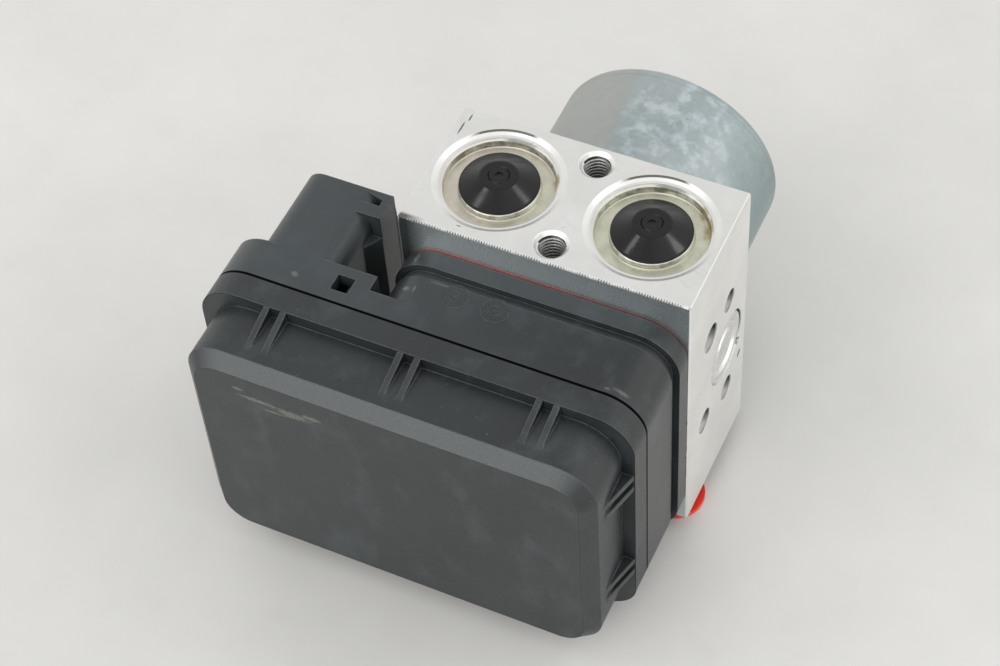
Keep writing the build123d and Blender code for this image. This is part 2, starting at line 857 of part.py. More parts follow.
with BuildPart() as brush_holder:
    with BuildSketch(upright(plate_back)):
        with Locations((0, shaft_z)):
            Circle(can_inner_r - free_gap)
            Circle(front_bearing_r + seat_gap, mode=Mode.SUBTRACT)
        with Locations((0, -feed_drop)):
            Rectangle(
                feed_blade_spacing + feed_blade_thickness + 2 * seat_gap,
                feed_blade_width + 2 * seat_gap,
                mode=Mode.SUBTRACT,
            )
    extrude(amount=plate_back - holder_back)
    for side in (-1, 1):
        with BuildSketch(Plane.YZ.offset(side * box_inner)):
            with Locations((brush_y, shaft_z)):
                Rectangle(box_height + 2 * brush_holder_wall, box_width + 2 * brush_holder_wall)
        extrude(amount=side * (box_outer - box_inner))
        with BuildSketch(Plane.YZ.offset(side * box_inner)):
            with Locations((brush_y, shaft_z)):
                Rectangle(box_height, box_width)
        extrude(amount=side * (box_outer - box_inner - brush_holder_wall), mode=Mode.SUBTRACT)
nodes["brush_holder"] = brush_holder

with BuildPart() as brushes:
    for side in (-1, 1):
        with BuildSketch(Plane.YZ.offset(side * brush_inner)):
            with Locations((brush_y, shaft_z)):
                Rectangle(brush_height, brush_width)
        extrude(amount=side * brush_length)
nodes["brushes"] = brushes

with BuildPart() as brush_springs:
    for side in (-1, 1):
        for turn in range(3):
            start = brush_inner + brush_length + running_gap + turn * brush_spring_length / 3
            with BuildSketch(Plane.YZ.offset(side * start)):
                with Locations((brush_y, shaft_z)):
                    Rectangle(brush_height * (0.8 - 0.15 * turn), brush_width * (0.8 - 0.15 * turn))
            extrude(amount=side * brush_spring_length / 3)
nodes["brush_springs"] = brush_springs

with BuildPart() as motor_feed_blades:
    with BuildSketch(upright(holder_back)):
        with Locations((0, -feed_drop)):
            with GridLocations(feed_blade_spacing, 0, 2, 1):
                Rectangle(feed_blade_thickness, feed_blade_width)
    extrude(amount=holder_back - board_back)
nodes["motor_feed_blades"] = motor_feed_blades

with BuildPart() as motor_feed_guide:
    with BuildSketch(upright(block_back)):
        with Locations((0, -feed_drop)):
            Circle(feed_bore_r - seat_gap)
            with GridLocations(feed_blade_spacing, 0, 2, 1):
                Rectangle(
                    feed_blade_thickness + 2 * running_gap,
                    feed_blade_width + 2 * running_gap,
                    mode=Mode.SUBTRACT,
                )
    extrude(amount=block_depth + gasket_thickness)
nodes["motor_feed_guide"] = motor_feed_guide

# ---------------------------------------------------------------- solenoid valves and coils

dome_front = rim_back - coil_length + 0.6
with BuildPart() as valve_cartridges:
    with BuildSketch(upright(block_front + valve_bore_depth - free_gap)):
        with Locations(*valve_places):
            Circle(valve_bore_r)
    extrude(amount=valve_bore_depth - free_gap)
    with BuildSketch(upright(block_front)):
        with Locations(*valve_places):
            Circle(valve_dome_r)
    extrude(amount=block_front - dome_front)
    chamfer(
        valve_cartridges.faces().sort_by(Axis.Y)[:12].edges(),
        length=valve_dome_r * 0.35,
    )
nodes["valve_cartridges"] = valve_cartridges

coil_back = rim_back - free_gap
with BuildPart() as solenoid_coils:
    with BuildSketch(upright(coil_back)):
        with Locations(*valve_places):
            Circle(coil_r)
        with Locations(*valve_places):
            Circle(valve_dome_r + free_gap, mode=Mode.SUBTRACT)
    extrude(amount=coil_length)
nodes["solenoid_coils"] = solenoid_coils

# ---------------------------------------------------------------- controller housing

with BuildPart() as controller_gasket:
    with BuildSketch(upright(block_front)):
        with Locations((0, rim_z)):
            RectangleRounded(rim_width - 0.6, rim_height - 0.6, rim_corner_r - 0.3)
            RectangleRounded(
                rim_width - 0.6 - 2 * gasket_width,
                rim_height - 0.6 - 2 * gasket_width,
                rim_corner_r - 0.3 - gasket_width,
                mode=Mode.SUBTRACT,
            )
    extrude(amount=gasket_thickness)
nodes["controller_gasket"] = controller_gasket

cavity_width = rim_width - 2 * (neck_step + housing_wall)
cavity_height = rim_height - 2 * (neck_step + housing_wall) + 2 * 1.2
cavity_r = rim_corner_r - neck_step - housing_wall
pad_right = -block_side - pad_gap
pad_width = controller_left + pad_right
pad_x = (pad_right - controller_left) / 2
shroud_x = -controller_left + shroud_left_inset + shroud_width / 2
shroud_top = -controller_drop
shroud_z = shroud_top - shroud_height / 2
shroud_right = shroud_x + shroud_width / 2
tray_left_back = pad_back - 2.0
shroud_floor = pad_back + 1.0
pin_top_z = shroud_z + (pin_rows - 1) / 2 * pin_row_pitch + 4.0
pin_places = [
    (shroud_x + (column - (pin_columns - 1) / 2) * pin_pitch, pin_top_z - row * pin_row_pitch)
    for row in range(pin_rows)
    for column in range(pin_columns)
]
blade_z = pin_top_z - pin_rows * pin_row_pitch - 2.0
blade_places = [(shroud_x - 4.5, blade_z), (shroud_x + 4.5, blade_z)]

with BuildPart() as controller_housing:
    # rim that seals against the block, a shadow groove behind it, then the body
    with BuildSketch(upright(rim_back)):
        with Locations((0, rim_z)):
            RectangleRounded(rim_width, rim_height, rim_corner_r)
    extrude(amount=rim_depth)
    with BuildSketch(upright(rim_front)):
        with Locations((0, rim_z)):
            RectangleRounded(rim_width - 2 * neck_step, rim_height - 2 * neck_step, rim_corner_r - neck_step)
    extrude(amount=neck_depth)
    with BuildSketch(upright(neck_front)):
        with Locations((0, controller_z)):
            RectangleRounded(2 * controller_right, controller_height, controller_corner_r)
    extrude(amount=body_depth)
    # flange the cover is welded to, and the thicker pad under the plug shroud
    with BuildSketch(upright(body_front)):
        with Locations((controller_x, controller_z)):
            RectangleRounded(controller_width, controller_height, controller_corner_r)
    extrude(amount=housing_flange_depth)
    with BuildSketch(upright(pad_back)):
        with Locations((controller_x, controller_z)):
            RectangleRounded(controller_width, controller_height, controller_corner_r)
        with Locations((pad_right + controller_width / 2, controller_z)):
            Rectangle(controller_width, controller_height, mode=Mode.SUBTRACT)
    extrude(amount=pad_depth)
    # collar round the shroud's mouth on the block's side, cored out above the tube's corner
    with BuildSketch(Plane.XY.offset(shroud_top)):
        with BuildLine():
            Polyline(
                (shroud_right - shroud_corner_r, shroud_mouth),
                (shroud_right + collar_width, shroud_mouth),
                (shroud_right + collar_width, shroud_mouth - collar_length),
                (shroud_right - shroud_corner_r, shroud_mouth - collar_length),
                close=True,
            )
        make_face()
    extrude(amount=-collar_height)
    with BuildSketch(Plane.XY.offset(shroud_top)):
        with BuildLine():
            Polyline(
                (shroud_right - shroud_corner_r, shroud_mouth - collar_lip),
                (shroud_right + collar_width - collar_wall, shroud_mouth - collar_lip_inner),
                (shroud_right + collar_width - collar_wall, shroud_mouth - collar_length + collar_web),
                (shroud_right - shroud_corner_r, shroud_mouth - collar_length + collar_web),
                close=True,
            )
        make_face()
    extrude(amount=-collar_pocket_depth, mode=Mode.SUBTRACT)
    # flare that carries the collar's end over into the tube's side
    with BuildSketch(Plane.XY.offset(shroud_top - collar_pocket_depth)):
        with BuildLine():
            Polyline(
                (shroud_right - 1.0, shroud_mouth - collar_length + 1.0),
                (shroud_right + collar_width, shroud_mouth - collar_length + 1.0),
                (shroud_right + collar_width, shroud_mouth - collar_length),
                (shroud_right, shroud_mouth - collar_length - collar_flare),
                (shroud_right - 1.0, shroud_mouth - collar_length - collar_flare),
                close=True,
            )
        make_face()
    extrude(amount=collar_pocket_depth - collar_height)
    # plug shroud, a tube open at the back
    with BuildSketch(upright(pad_back)):
        with Locations((shroud_x, shroud_z)):
            RectangleRounded(shroud_width, shroud_height, shroud_corner_r)
    extrude(amount=-shroud_length)
    # coil chamber from the back
    with BuildSketch(upright(rim_back)):
        with Locations((0, rim_z)):
            RectangleRounded(cavity_width, cavity_height, cavity_r)
    extrude(amount=rim_back - partition_back, mode=Mode.SUBTRACT)
    # screw bosses in its corners
    with BuildSketch(upright(rim_back)):
        with Locations(*housing_screw_places):
            Circle(housing_boss_r)
    extrude(amount=rim_back - partition_back)
    # board tray from the front, with a ledge for the board, deeper behind the shroud
    with BuildSketch(upright(housing_front)):
        with Locations((controller_x, controller_z)):
            RectangleRounded(
                controller_width - 2 * housing_wall,
                controller_height - 2 * housing_wall,
                controller_corner_r - housing_wall,
            )
    extrude(amount=-board_ledge - board_thickness, mode=Mode.SUBTRACT)
    with BuildSketch(upright(housing_front)):
        with Locations((controller_x, controller_z)):
            RectangleRounded(
                controller_width - 2 * housing_wall - 3.0,
                controller_height - 2 * housing_wall - 3.0,
                controller_corner_r - housing_wall - 1.5,
            )
    extrude(amount=-tray_depth, mode=Mode.SUBTRACT)
    with BuildSketch(upright(tray_floor)):
        with Locations((pad_x, controller_z)):
            RectangleRounded(pad_width - 2 * housing_wall - 3.0, controller_height - 2 * housing_wall - 3.0, 6.0)
    extrude(amount=tray_floor - tray_left_back, mode=Mode.SUBTRACT)
    # inside of the shroud
    with BuildSketch(upright(shroud_mouth)):
        with Locations((shroud_x, shroud_z)):
            RectangleRounded(
                shroud_width - 2 * shroud_wall,
                shroud_height - 2 * shroud_wall,
                shroud_corner_r - shroud_wall,
            )
    extrude(amount=shroud_mouth - shroud_floor, mode=Mode.SUBTRACT)
    # the pins are moulded into its floor
    with BuildSketch(upright(shroud_floor)):
        with Locations(*pin_places):
            Rectangle(2 * pin_r, 2 * pin_r)
        with Locations(*blade_places):
            Rectangle(blade_width, blade_thickness)
    extrude(amount=shroud_floor - tray_left_back, mode=Mode.SUBTRACT)
    # latch window in the top wall
    with BuildSketch(Plane.XY.offset(-controller_drop)):
        with Locations((window_x, pad_back - window_back - window_size / 2)):
            Rectangle(window_size, window_size)
    extrude(amount=-housing_wall - 2.0, mode=Mode.SUBTRACT)
    # screw holes, coil lead windows and the motor feed's way through the partition
    with BuildSketch(upright(rim_back)):
        with Locations(*housing_screw_places):
            Circle(housing_screw_r + free_gap)
        with Locations(*[(x, z + coil_r * 0.6) for x, z in valve_places]):
            Rectangle(6.0, 2.4)
        with Locations((0, -feed_drop)):
            Rectangle(feed_blade_spacing + feed_blade_thickness + 1.0, feed_blade_width + 1.0)
    extrude(amount=rim_back - tray_floor, mode=Mode.SUBTRACT)
nodes["controller_housing"] = controller_housing

with BuildPart() as housing_screws:
    with BuildSketch(upright(block_front + housing_screw_reach)):
        with Locations(*housing_screw_places):
            Circle(housing_screw_r - running_gap)
    extrude(amount=block_front + housing_screw_reach - tray_floor)
    with BuildSketch(upright(tray_floor)):
        with Locations(*housing_screw_places):
            Circle(housing_screw_head_r)
    extrude(amount=housing_screw_head_height / 2)
nodes["housing_screws"] = housing_screws

# ---------------------------------------------------------------- board, its parts and the plug's pins

board_front = housing_front + board_ledge
board_width = controller_width - 2 * housing_wall - 2 * seat_gap
board_height = controller_height - 2 * housing_wall - 2 * seat_gap

with BuildPart() as circuit_board:
    with BuildSketch(upright(board_back)):
        with Locations((controller_x, controller_z)):
            RectangleRounded(board_width, board_height, controller_corner_r - housing_wall - seat_gap)
        with Locations(*pin_places):
            Rectangle(2 * pin_r + 2 * running_gap, 2 * pin_r + 2 * running_gap, mode=Mode.SUBTRACT)
        with Locations(*blade_places):
            Rectangle(blade_width + 2 * running_gap, blade_thickness + 2 * running_gap, mode=Mode.SUBTRACT)
    extrude(amount=board_thickness)
nodes["circuit_board"] = circuit_board

with BuildPart() as plug_pins:
    with BuildSketch(upright(board_front)):
        with Locations(*pin_places):
            Rectangle(2 * pin_r, 2 * pin_r)
        with Locations(*blade_places):
            Rectangle(blade_width, blade_thickness)
    extrude(amount=-(pad_back + pin_reach - board_front))
nodes["plug_pins"] = plug_pins

with BuildPart() as board_parts:
    with BuildSketch(upright(board_front)):
        with Locations((controller_x + chip_offset_x, controller_z + chip_offset_z)):
            Rectangle(chip_size, chip_size)
        with Locations((controller_x + driver_offset_x, controller_z + chip_offset_z)):
            Rectangle(driver_width, driver_height)
        with Locations((controller_x + driver_offset_x, controller_z - transistor_offset_z)):
            with GridLocations(transistor_pitch, transistor_pitch, 2, 2):
                Rectangle(transistor_size, transistor_size)
    extrude(amount=chip_thickness)
    with BuildSketch(upright(board_front)):
        with Locations((controller_x + chip_offset_x, controller_z - capacitor_offset_z)):
            with GridLocations(capacitor_pitch, 0, 2, 1):
                Circle(capacitor_r)
    extrude(amount=capacitor_height)
nodes["board_parts"] = board_parts

# ---------------------------------------------------------------- controller cover

bowl_front = cover_ledge_y - bowl_depth
bowl_width = controller_width - 2 * cover_ledge
bowl_height = controller_height - cover_ledge - cover_ledge_below
bowl_z = controller_z + (cover_ledge_below - cover_ledge) / 2
rib_drop = rib_thickness / 2 + rib_pair_gap / 2

with BuildPart() as controller_cover:
    with BuildSketch(upright(housing_front)):
        with Locations((controller_x, controller_z)):
            RectangleRounded(controller_width, controller_height, controller_corner_r)
    extrude(amount=cover_flange_depth)
    # bowl with a bevel round its face
    with BuildSketch(upright(cover_ledge_y)):
        with Locations((controller_x, bowl_z)):
            RectangleRounded(bowl_width, bowl_height, bowl_corner_r)
    extrude(amount=bowl_depth)
    chamfer(controller_cover.faces().sort_by(Axis.Y)[0].edges(), length=bowl_bevel)
    # pairs of stiffening ribs between the flange and the bowl
    for side in (-1, 1):
        edge_z = controller_z + side * (controller_height / 2 - 0.3)
        wall_z = bowl_z + side * (bowl_height / 2 - 0.5)
        for pair in (-1, 0, 1):
            for rib in (-1, 1):
                with BuildSketch(Plane.YZ.offset(controller_x + pair * top_rib_pitch + rib * rib_drop)):
                    with BuildLine():
                        Polyline(
                            (cover_ledge_y + 0.5, edge_z),
                            (cover_ledge_y, edge_z),
                            (cover_ledge_y - rib_length, wall_z + side * 0.5),
                            (cover_ledge_y - rib_length, wall_z),
                            (cover_ledge_y + 0.5, wall_z),
                            close=True,
                        )
                    make_face()
                extrude(amount=rib_thickness / 2, both=True)
        edge_x = controller_x + side * (controller_width / 2 - 0.3)
        wall_x = controller_x + side * (bowl_width / 2 - 0.5)
        for pair in (-0.5, 0.5):
            for rib in (-1, 1):
                with BuildSketch(Plane.XY.offset(controller_z + pair * side_rib_pitch + rib * rib_drop)):
                    with BuildLine():
                        Polyline(
                            (edge_x, cover_ledge_y + 0.5),
                            (edge_x, cover_ledge_y),
                            (wall_x + side * 0.5, cover_ledge_y - rib_length),
                            (wall_x, cover_ledge_y - rib_length),
                            (wall_x, cover_ledge_y + 0.5),
                            close=True,
                        )
                    make_face()
                extrude(amount=rib_thickness / 2, both=True)
    # hollow inside
    with BuildSketch(upright(housing_front)):
        with Locations((controller_x, controller_z)):
            RectangleRounded(
                controller_width - 2 * cover_wall,
                controller_height - 2 * cover_wall,
                controller_corner_r - cover_wall,
            )
    extrude(amount=cover_flange_depth - cover_wall, mode=Mode.SUBTRACT)
    with BuildSketch(upright(housing_front)) as bowl_core:
        with Locations((controller_x, bowl_z)):
            RectangleRounded(bowl_width - 2 * cover_wall, bowl_height - 2 * cover_wall, bowl_corner_r - cover_wall)
    extrude(amount=cover_flange_depth + bowl_depth - bowl_bevel, mode=Mode.SUBTRACT)
    with BuildSketch(upright(housing_front)):
        with Locations((controller_x, bowl_z)):
            RectangleRounded(
                bowl_width - 2 * cover_wall - 2 * (bowl_bevel - cover_wall),
                bowl_height - 2 * cover_wall - 2 * (bowl_bevel - cover_wall),
                bowl_corner_r - bowl_bevel,
            )
    extrude(amount=cover_flange_depth + bowl_depth - cover_wall, mode=Mode.SUBTRACT)
nodes["controller_cover"] = controller_cover

# ---------------------------------------------------------------- one STEP file for each node

os.makedirs("parts", exist_ok=True)
for name, piece in nodes.items():
    piece.part.label = name
    export_step(piece.part, f"parts/{name}.step")
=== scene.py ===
import math

import bpy
from mathutils import Matrix, Vector


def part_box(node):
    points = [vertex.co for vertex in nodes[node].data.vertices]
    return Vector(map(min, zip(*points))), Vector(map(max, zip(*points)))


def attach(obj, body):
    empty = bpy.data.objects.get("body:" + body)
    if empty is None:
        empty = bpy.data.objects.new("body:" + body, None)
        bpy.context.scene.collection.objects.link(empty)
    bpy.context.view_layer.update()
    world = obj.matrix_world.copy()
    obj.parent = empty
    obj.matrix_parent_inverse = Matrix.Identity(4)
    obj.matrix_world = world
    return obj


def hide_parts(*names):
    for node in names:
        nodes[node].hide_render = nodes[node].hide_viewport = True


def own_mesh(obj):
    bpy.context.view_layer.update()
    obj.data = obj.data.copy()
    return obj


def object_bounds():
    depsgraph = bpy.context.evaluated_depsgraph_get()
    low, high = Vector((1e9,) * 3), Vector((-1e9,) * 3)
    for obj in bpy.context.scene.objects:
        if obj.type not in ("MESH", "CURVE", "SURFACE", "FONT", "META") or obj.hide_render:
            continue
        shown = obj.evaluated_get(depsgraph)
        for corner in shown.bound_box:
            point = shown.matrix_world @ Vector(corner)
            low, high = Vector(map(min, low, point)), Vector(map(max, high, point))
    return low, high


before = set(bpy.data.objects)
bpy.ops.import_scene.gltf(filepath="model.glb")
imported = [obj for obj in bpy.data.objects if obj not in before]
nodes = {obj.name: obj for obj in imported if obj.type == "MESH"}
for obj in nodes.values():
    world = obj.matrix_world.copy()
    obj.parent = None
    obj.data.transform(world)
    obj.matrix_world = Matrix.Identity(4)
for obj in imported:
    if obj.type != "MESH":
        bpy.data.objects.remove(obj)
cad_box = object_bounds()
scene = bpy.context.scene

# ---------------------------------------------------------------- where the viewer stands
# Above the controller's right front corner, looking down on the block and the motor, with the
# head tilted a little to the left.
azimuth = math.radians(28.378)
elevation = math.radians(52.068)
roll = math.radians(-4.686)
viewer_place = (0.17712, -0.37569, 0.47856)
back = Vector(
    (
        math.sin(azimuth) * math.cos(elevation),
        -math.cos(azimuth) * math.cos(elevation),
        math.sin(elevation),
    )
)
level_right = (-back).cross(Vector((0, 0, 1))).normalized()
level_up = level_right.cross(-back)
right = math.cos(roll) * level_right + math.sin(roll) * level_up
up = -math.sin(roll) * level_right + math.cos(roll) * level_up
camera = bpy.data.objects.new("camera", bpy.data.cameras.new("camera"))
scene.collection.objects.link(camera)
turn = Matrix((right, up, back)).transposed().to_4x4()
camera.matrix_world = Matrix.Translation(viewer_place) @ turn
camera.data.sensor_width = 36
camera.data.lens = 84.75
camera.data.clip_start = 0.02
camera.data.clip_end = 20
scene.camera = camera
scene.view_settings.view_transform = "Standard"

# ---------------------------------------------------------------- hydraulic block
# A sawn length of extruded aluminium bar, face milled on top and below and drilled from all
# sides. The two bracket holes are tapped, and the bores at top and sides are closed by
# rolling the metal round their mouths over the parts inside.


def put(tree, kind, feeds=None, **settings):
    """Adds a node, sets its properties, and feeds its inputs with values or with other outputs."""
    node = tree.nodes.new(kind)
    for key, value in settings.items():
        setattr(node, key, value)
    for label, value in (feeds or {}).items():
        if isinstance(value, bpy.types.NodeSocket):
            tree.links.new(value, node.inputs[label])
        elif value is not None:
            node.inputs[label].default_value = value
    return node


def new_group(name, takes, gives):
    """A shader node group with named inputs and outputs; returns its tree and both its ends."""
    group = bpy.data.node_groups.new(name, "ShaderNodeTree")
    for side, labels in (("INPUT", takes), ("OUTPUT", gives)):
        for label, kind in labels.items():
            group.interface.new_socket(label, in_out=side, socket_type="NodeSocket" + kind)
    return group, put(group, "NodeGroupInput").outputs, put(group, "NodeGroupOutput").inputs


def use(tree, group, **feeds):
    """Places a group in a material or in another group; returns its outputs."""
    return put(tree, "ShaderNodeGroup", feeds, node_tree=group).outputs


def own_place(tree):
    """Where a point of the surface lies in the unit's own frame, in metres."""
    return put(tree, "ShaderNodeTexCoord").outputs["Object"]


def own_facing(tree):
    """Which way a point of the surface faces."""
    return put(tree, "ShaderNodeNewGeometry").outputs["Normal"]


def split(tree, vector):
    """The X, Y and Z parts of a vector."""
    return put(tree, "ShaderNodeSeparateXYZ", {0: vector}).outputs


def vector_of(tree, operation, first, second=(0, 0, 0)):
    """The result of two vectors, as outputs Vector and Value."""
    return put(tree, "ShaderNodeVectorMath", {0: first, 1: second}, operation=operation).outputs


def math_of(tree, operation, first, second=0.0):
    """The result of two numbers."""
    return put(tree, "ShaderNodeMath", {0: first, 1: second}, operation=operation).outputs[0]


def times(tree, product, *factors):
    """The product of two or more numbers."""
    for factor in factors:
        product = math_of(tree, "MULTIPLY", product, factor)
    return product


def most(tree, masks):
    """The strongest of several masks."""
    strongest = masks[0]
    for mask in masks[1:]:
        strongest = math_of(tree, "MAXIMUM", strongest, mask)
    return strongest


def off_by(tree, value, middle):
    """How far a value is from a middle one, to either side."""
    return math_of(tree, "ABSOLUTE", math_of(tree, "SUBTRACT", value, middle))


def spread(tree, source, low, high, out_low=0.0, out_high=1.0):
    """Maps a value from one range to another and holds it there."""
    feeds = {"Value": source, "From Min": low, "From Max": high}
    feeds.update({"To Min": out_low, "To Max": out_high})
    return put(tree, "ShaderNodeMapRange", feeds).outputs["Result"]


def band(tree, value, start, full, fading, gone):
    """Rises from start to full, stays at 1, and falls from fading to gone."""
    return times(tree, spread(tree, value, start, full), spread(tree, value, gone, fading))


def mix(tree, share, first, second):
    """Goes from the first number to the second as the share rises from 0 to 1."""
    return put(tree, "ShaderNodeMix", {0: share, 2: first, 3: second}).outputs[0]


def blend(tree, share, first, second):
    """Goes from the first colour to the second as the share rises from 0 to 1."""
    feeds = {0: share}
    for label, colour in ((6, first), (7, second)):
        feeds[label] = colour if isinstance(colour, bpy.types.NodeSocket) else (*colour, 1)
    return put(tree, "ShaderNodeMix", feeds, data_type="RGBA").outputs[2]


def two_tone(tree, clouds, first, second):
    """Two colours that pass into each other in clouds."""
    return blend(tree, spread(tree, clouds, 0.35, 0.65), first, second)


def paint(tree, base, mask, share, colour):
    """Lays a colour over a base where the mask is on, up to the given share."""
    return blend(tree, spread(tree, mask, 0, 1, 0, share), base, colour)


def bump(tree, height, strength, distance, normal=None):
    """Turns a height pattern into a normal, on top of another normal."""
    feeds = {"Height": height, "Strength": strength, "Distance": distance, "Normal": normal}
    return put(tree, "ShaderNodeBump", feeds).outputs[0]


def noise(tree, vector, scale, detail, roughness=0.5, distortion=0.0):
    """Plain noise at a place."""
    feeds = {"Vector": vector, "Scale": scale, "Detail": detail}
    feeds.update({"Roughness": roughness, "Distortion": distortion})
    return put(tree, "ShaderNodeTexNoise", feeds).outputs["Fac"]


def new_finish(name, roughness, metallic=0.0, specular=0.5):
    """An empty material with one Principled shader; returns material, tree and shader."""
    look = bpy.data.materials.new(name)
    look.use_nodes = True
    tree = look.node_tree
    tree.nodes.clear()
    shader = put(tree, "ShaderNodeBsdfPrincipled", {"Roughness": roughness, "Metallic": metallic})
    shader.inputs["Specular IOR Level"].default_value = specular
    output = put(tree, "ShaderNodeOutputMaterial")
    tree.links.new(shader.outputs["BSDF"], output.inputs["Surface"])
    return look, tree, shader


def feed(tree, shader, colour, roughness=None, normal=None):
    """Links what changes over the surface to the shader."""
    for label, value in (("Base Color", colour), ("Roughness", roughness), ("Normal", normal)):
        if value is not None:
            tree.links.new(value, shader.inputs[label])


def dress(look, *names):
    """Gives CAD parts their finish."""
    for name in names:
        nodes[name].data.materials.clear()
        nodes[name].data.materials.append(look)


# a sharp edge broken by a small radius, and the strip along it that handling rubs bright
soft_edge, takes, gives = new_group(
    "soft_edge", {"Radius": "Float", "Width": "Float"}, {"Normal": "Vector", "Rubbed": "Float"}
)
rounded = put(soft_edge, "ShaderNodeBevel", {"Radius": takes["Radius"]}, samples=6).outputs[0]
wide = put(soft_edge, "ShaderNodeBevel", {"Radius": takes["Width"]}, samples=6).outputs[0]
lean = vector_of(soft_edge, "DOT_PRODUCT", wide, own_facing(soft_edge))["Value"]
soft_edge.links.new(rounded, gives["Normal"])
soft_edge.links.new(spread(soft_edge, lean, 0.995, 0.9), gives["Rubbed"])

# an even noise at a given fineness, which may be drawn out along one direction
mottle, takes, gives = new_group(
    "mottle", {"Fineness": "Float", "Draw": "Vector", "Shift": "Vector"}, {"Value": "Float"}
)
moved = vector_of(mottle, "ADD", own_place(mottle), takes["Shift"])["Vector"]
drawn = vector_of(mottle, "MULTIPLY", moved, takes["Draw"])["Vector"]
mottle.links.new(noise(mottle, drawn, takes["Fineness"], 4.0, 0.6), gives["Value"])

# a ragged stain, scuff or spot round one place
stain, takes, gives = new_group(
    "stain",
    {"Place": "Vector", "Reach": "Vector", "Fineness": "Float", "Ragged": "Float"},
    {"Mask": "Float"},
)
place = own_place(stain)
away = vector_of(stain, "SUBTRACT", place, takes["Place"])["Vector"]
shrunk = vector_of(stain, "DIVIDE", away, takes["Reach"])["Vector"]
far = vector_of(stain, "LENGTH", shrunk)["Value"]
grain = noise(stain, place, takes["Fineness"], 5.0, 0.65)
rough_edge = times(stain, math_of(stain, "SUBTRACT", grain, 0.5), takes["Ragged"])
reach = math_of(stain, "ADD", far, rough_edge)
stain.links.new(spread(stain, reach, 1.0, 0.55), gives["Mask"])


def mottled(tree, fineness, shift=(0, 0, 0), draw=(1, 1, 1)):
    """Cloudy or grainy noise."""
    return use(tree, mottle, Fineness=fineness, Draw=draw, Shift=shift)["Value"]


def stains(tree, fineness, ragged, spots):
    """One mask for several stains, each given by its place and its reach along X, Y and Z."""
    masks = []
    for spot, reach in spots:
        made = use(tree, stain, Place=spot, Reach=reach, Fineness=fineness, Ragged=ragged)
        masks.append(made["Mask"])
    return most(tree, masks)


# hairline scratches in patches, all roughly along one direction
hairlines, takes, gives = new_group(
    "hairlines", {"Turn": "Vector", "Draw": "Vector", "Share": "Float"}, {"Mask": "Float"}
)
turned = {"Vector": own_place(hairlines), "Rotation": takes["Turn"]}
turned = put(hairlines, "ShaderNodeMapping", turned).outputs[0]
drawn = vector_of(hairlines, "MULTIPLY", turned, takes["Draw"])["Vector"]
lines = noise(hairlines, drawn, 1.0, 1.0, 0.5, 0.15)
faintest = math_of(hairlines, "SUBTRACT", 0.8, takes["Share"])
patches = spread(hairlines, mottled(hairlines, 70.0, (0.1, 0.2, 0.3)), 0.45, 0.6)
lines = times(hairlines, spread(hairlines, lines, faintest, 0.8), patches)
hairlines.links.new(lines, gives["Mask"])


def scratches(tree, turn, along, across, share):
    """Hairlines turned by three angles; along and across are their fineness in each direction."""
    return use(tree, hairlines, Turn=turn, Draw=(along, across, across), Share=share)["Mask"]


def radius_from(tree, axis):
    """Distance from an upright axis through the block, and the way from it as X, Y and Z."""
    off = vector_of(tree, "SUBTRACT", own_place(tree), (*axis, 0))["Vector"]
    level = vector_of(tree, "MULTIPLY", off, (1, 1, 0))["Vector"]
    return vector_of(tree, "LENGTH", level)["Value"], split(tree, off)


block_metal, tree, shader = new_finish("block_aluminium", 0.36, 1.0)
block_low, block_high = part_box("hydraulic_block")
edge = use(tree, soft_edge, Radius=0.00018, Width=0.0004)
place = own_place(tree)
here = split(tree, place)
facing = split(tree, own_facing(tree))
on_top = spread(tree, facing["Z"], 0.9, 0.97)
on_front = spread(tree, facing["Y"], -0.9, -0.97)
on_side = spread(tree, math_of(tree, "ABSOLUTE", facing["X"]), 0.9, 0.97)
cloud = mottled(tree, 55.0)
scratched = most(
    tree,
    [
        scratches(tree, turn=(0, 0, 0.5), along=60.0, across=2600.0, share=0.12),
        scratches(tree, turn=(0.3, 0.2, -0.9), along=90.0, across=2200.0, share=0.1),
    ],
)
# dark scores on the top at its rear left corner, and a rub mark by its front edge
marks_and_painted_dark = stains(
    tree,
    fineness=900.0,
    ragged=0.9,
    spots=(
        ((-0.0401, 0.0138, 0.0), (0.0003, 0.0030, 0.003)),
        ((-0.0393, 0.0182, 0.0), (0.0003, 0.0016, 0.003)),
        ((-0.0255, -0.0188, 0.0), (0.0009, 0.0002, 0.003)),
    ),
)
# painted reflection: the far lip of each accumulator's bevel is painted dark, standing in for the
# dark it mirrors
accumulator_axes = ((-0.0224, 0.00035), (0.0224, 0.00035))
bevel_r = 0.0180
lip_r = 0.0186
soft = 0.00005
painted_dark_lip_reflection = []
for axis in accumulator_axes:
    distance, off = radius_from(tree, axis)
    lip = band(tree, distance, bevel_r - soft, bevel_r + soft, lip_r - soft, lip_r + 0.00002)
    arc = spread(tree, off_by(tree, off["X"], -0.0050), 0.0092, 0.0070)
    painted_dark_lip_reflection.append(times(tree, lip, arc, spread(tree, off["Y"], 0.0, 0.001)))
# painted shade lies in the thread roots of the two bracket holes
hole_spacing = 0.0306
root_r = 0.0040
shaded_root_bands = []
for hole_y in (-hole_spacing / 2, hole_spacing / 2):
    distance, off = radius_from(tree, (0.0, hole_y))
    root = band(
        tree, distance, root_r - 0.00045, root_r - 0.00022, root_r + 0.0002, root_r + 0.0005
    )
    shaded_root_bands.append(root)
painted_thread_shade = times(tree, most(tree, shaded_root_bands), spread(tree, here["Z"], -0.0010, -0.0013))
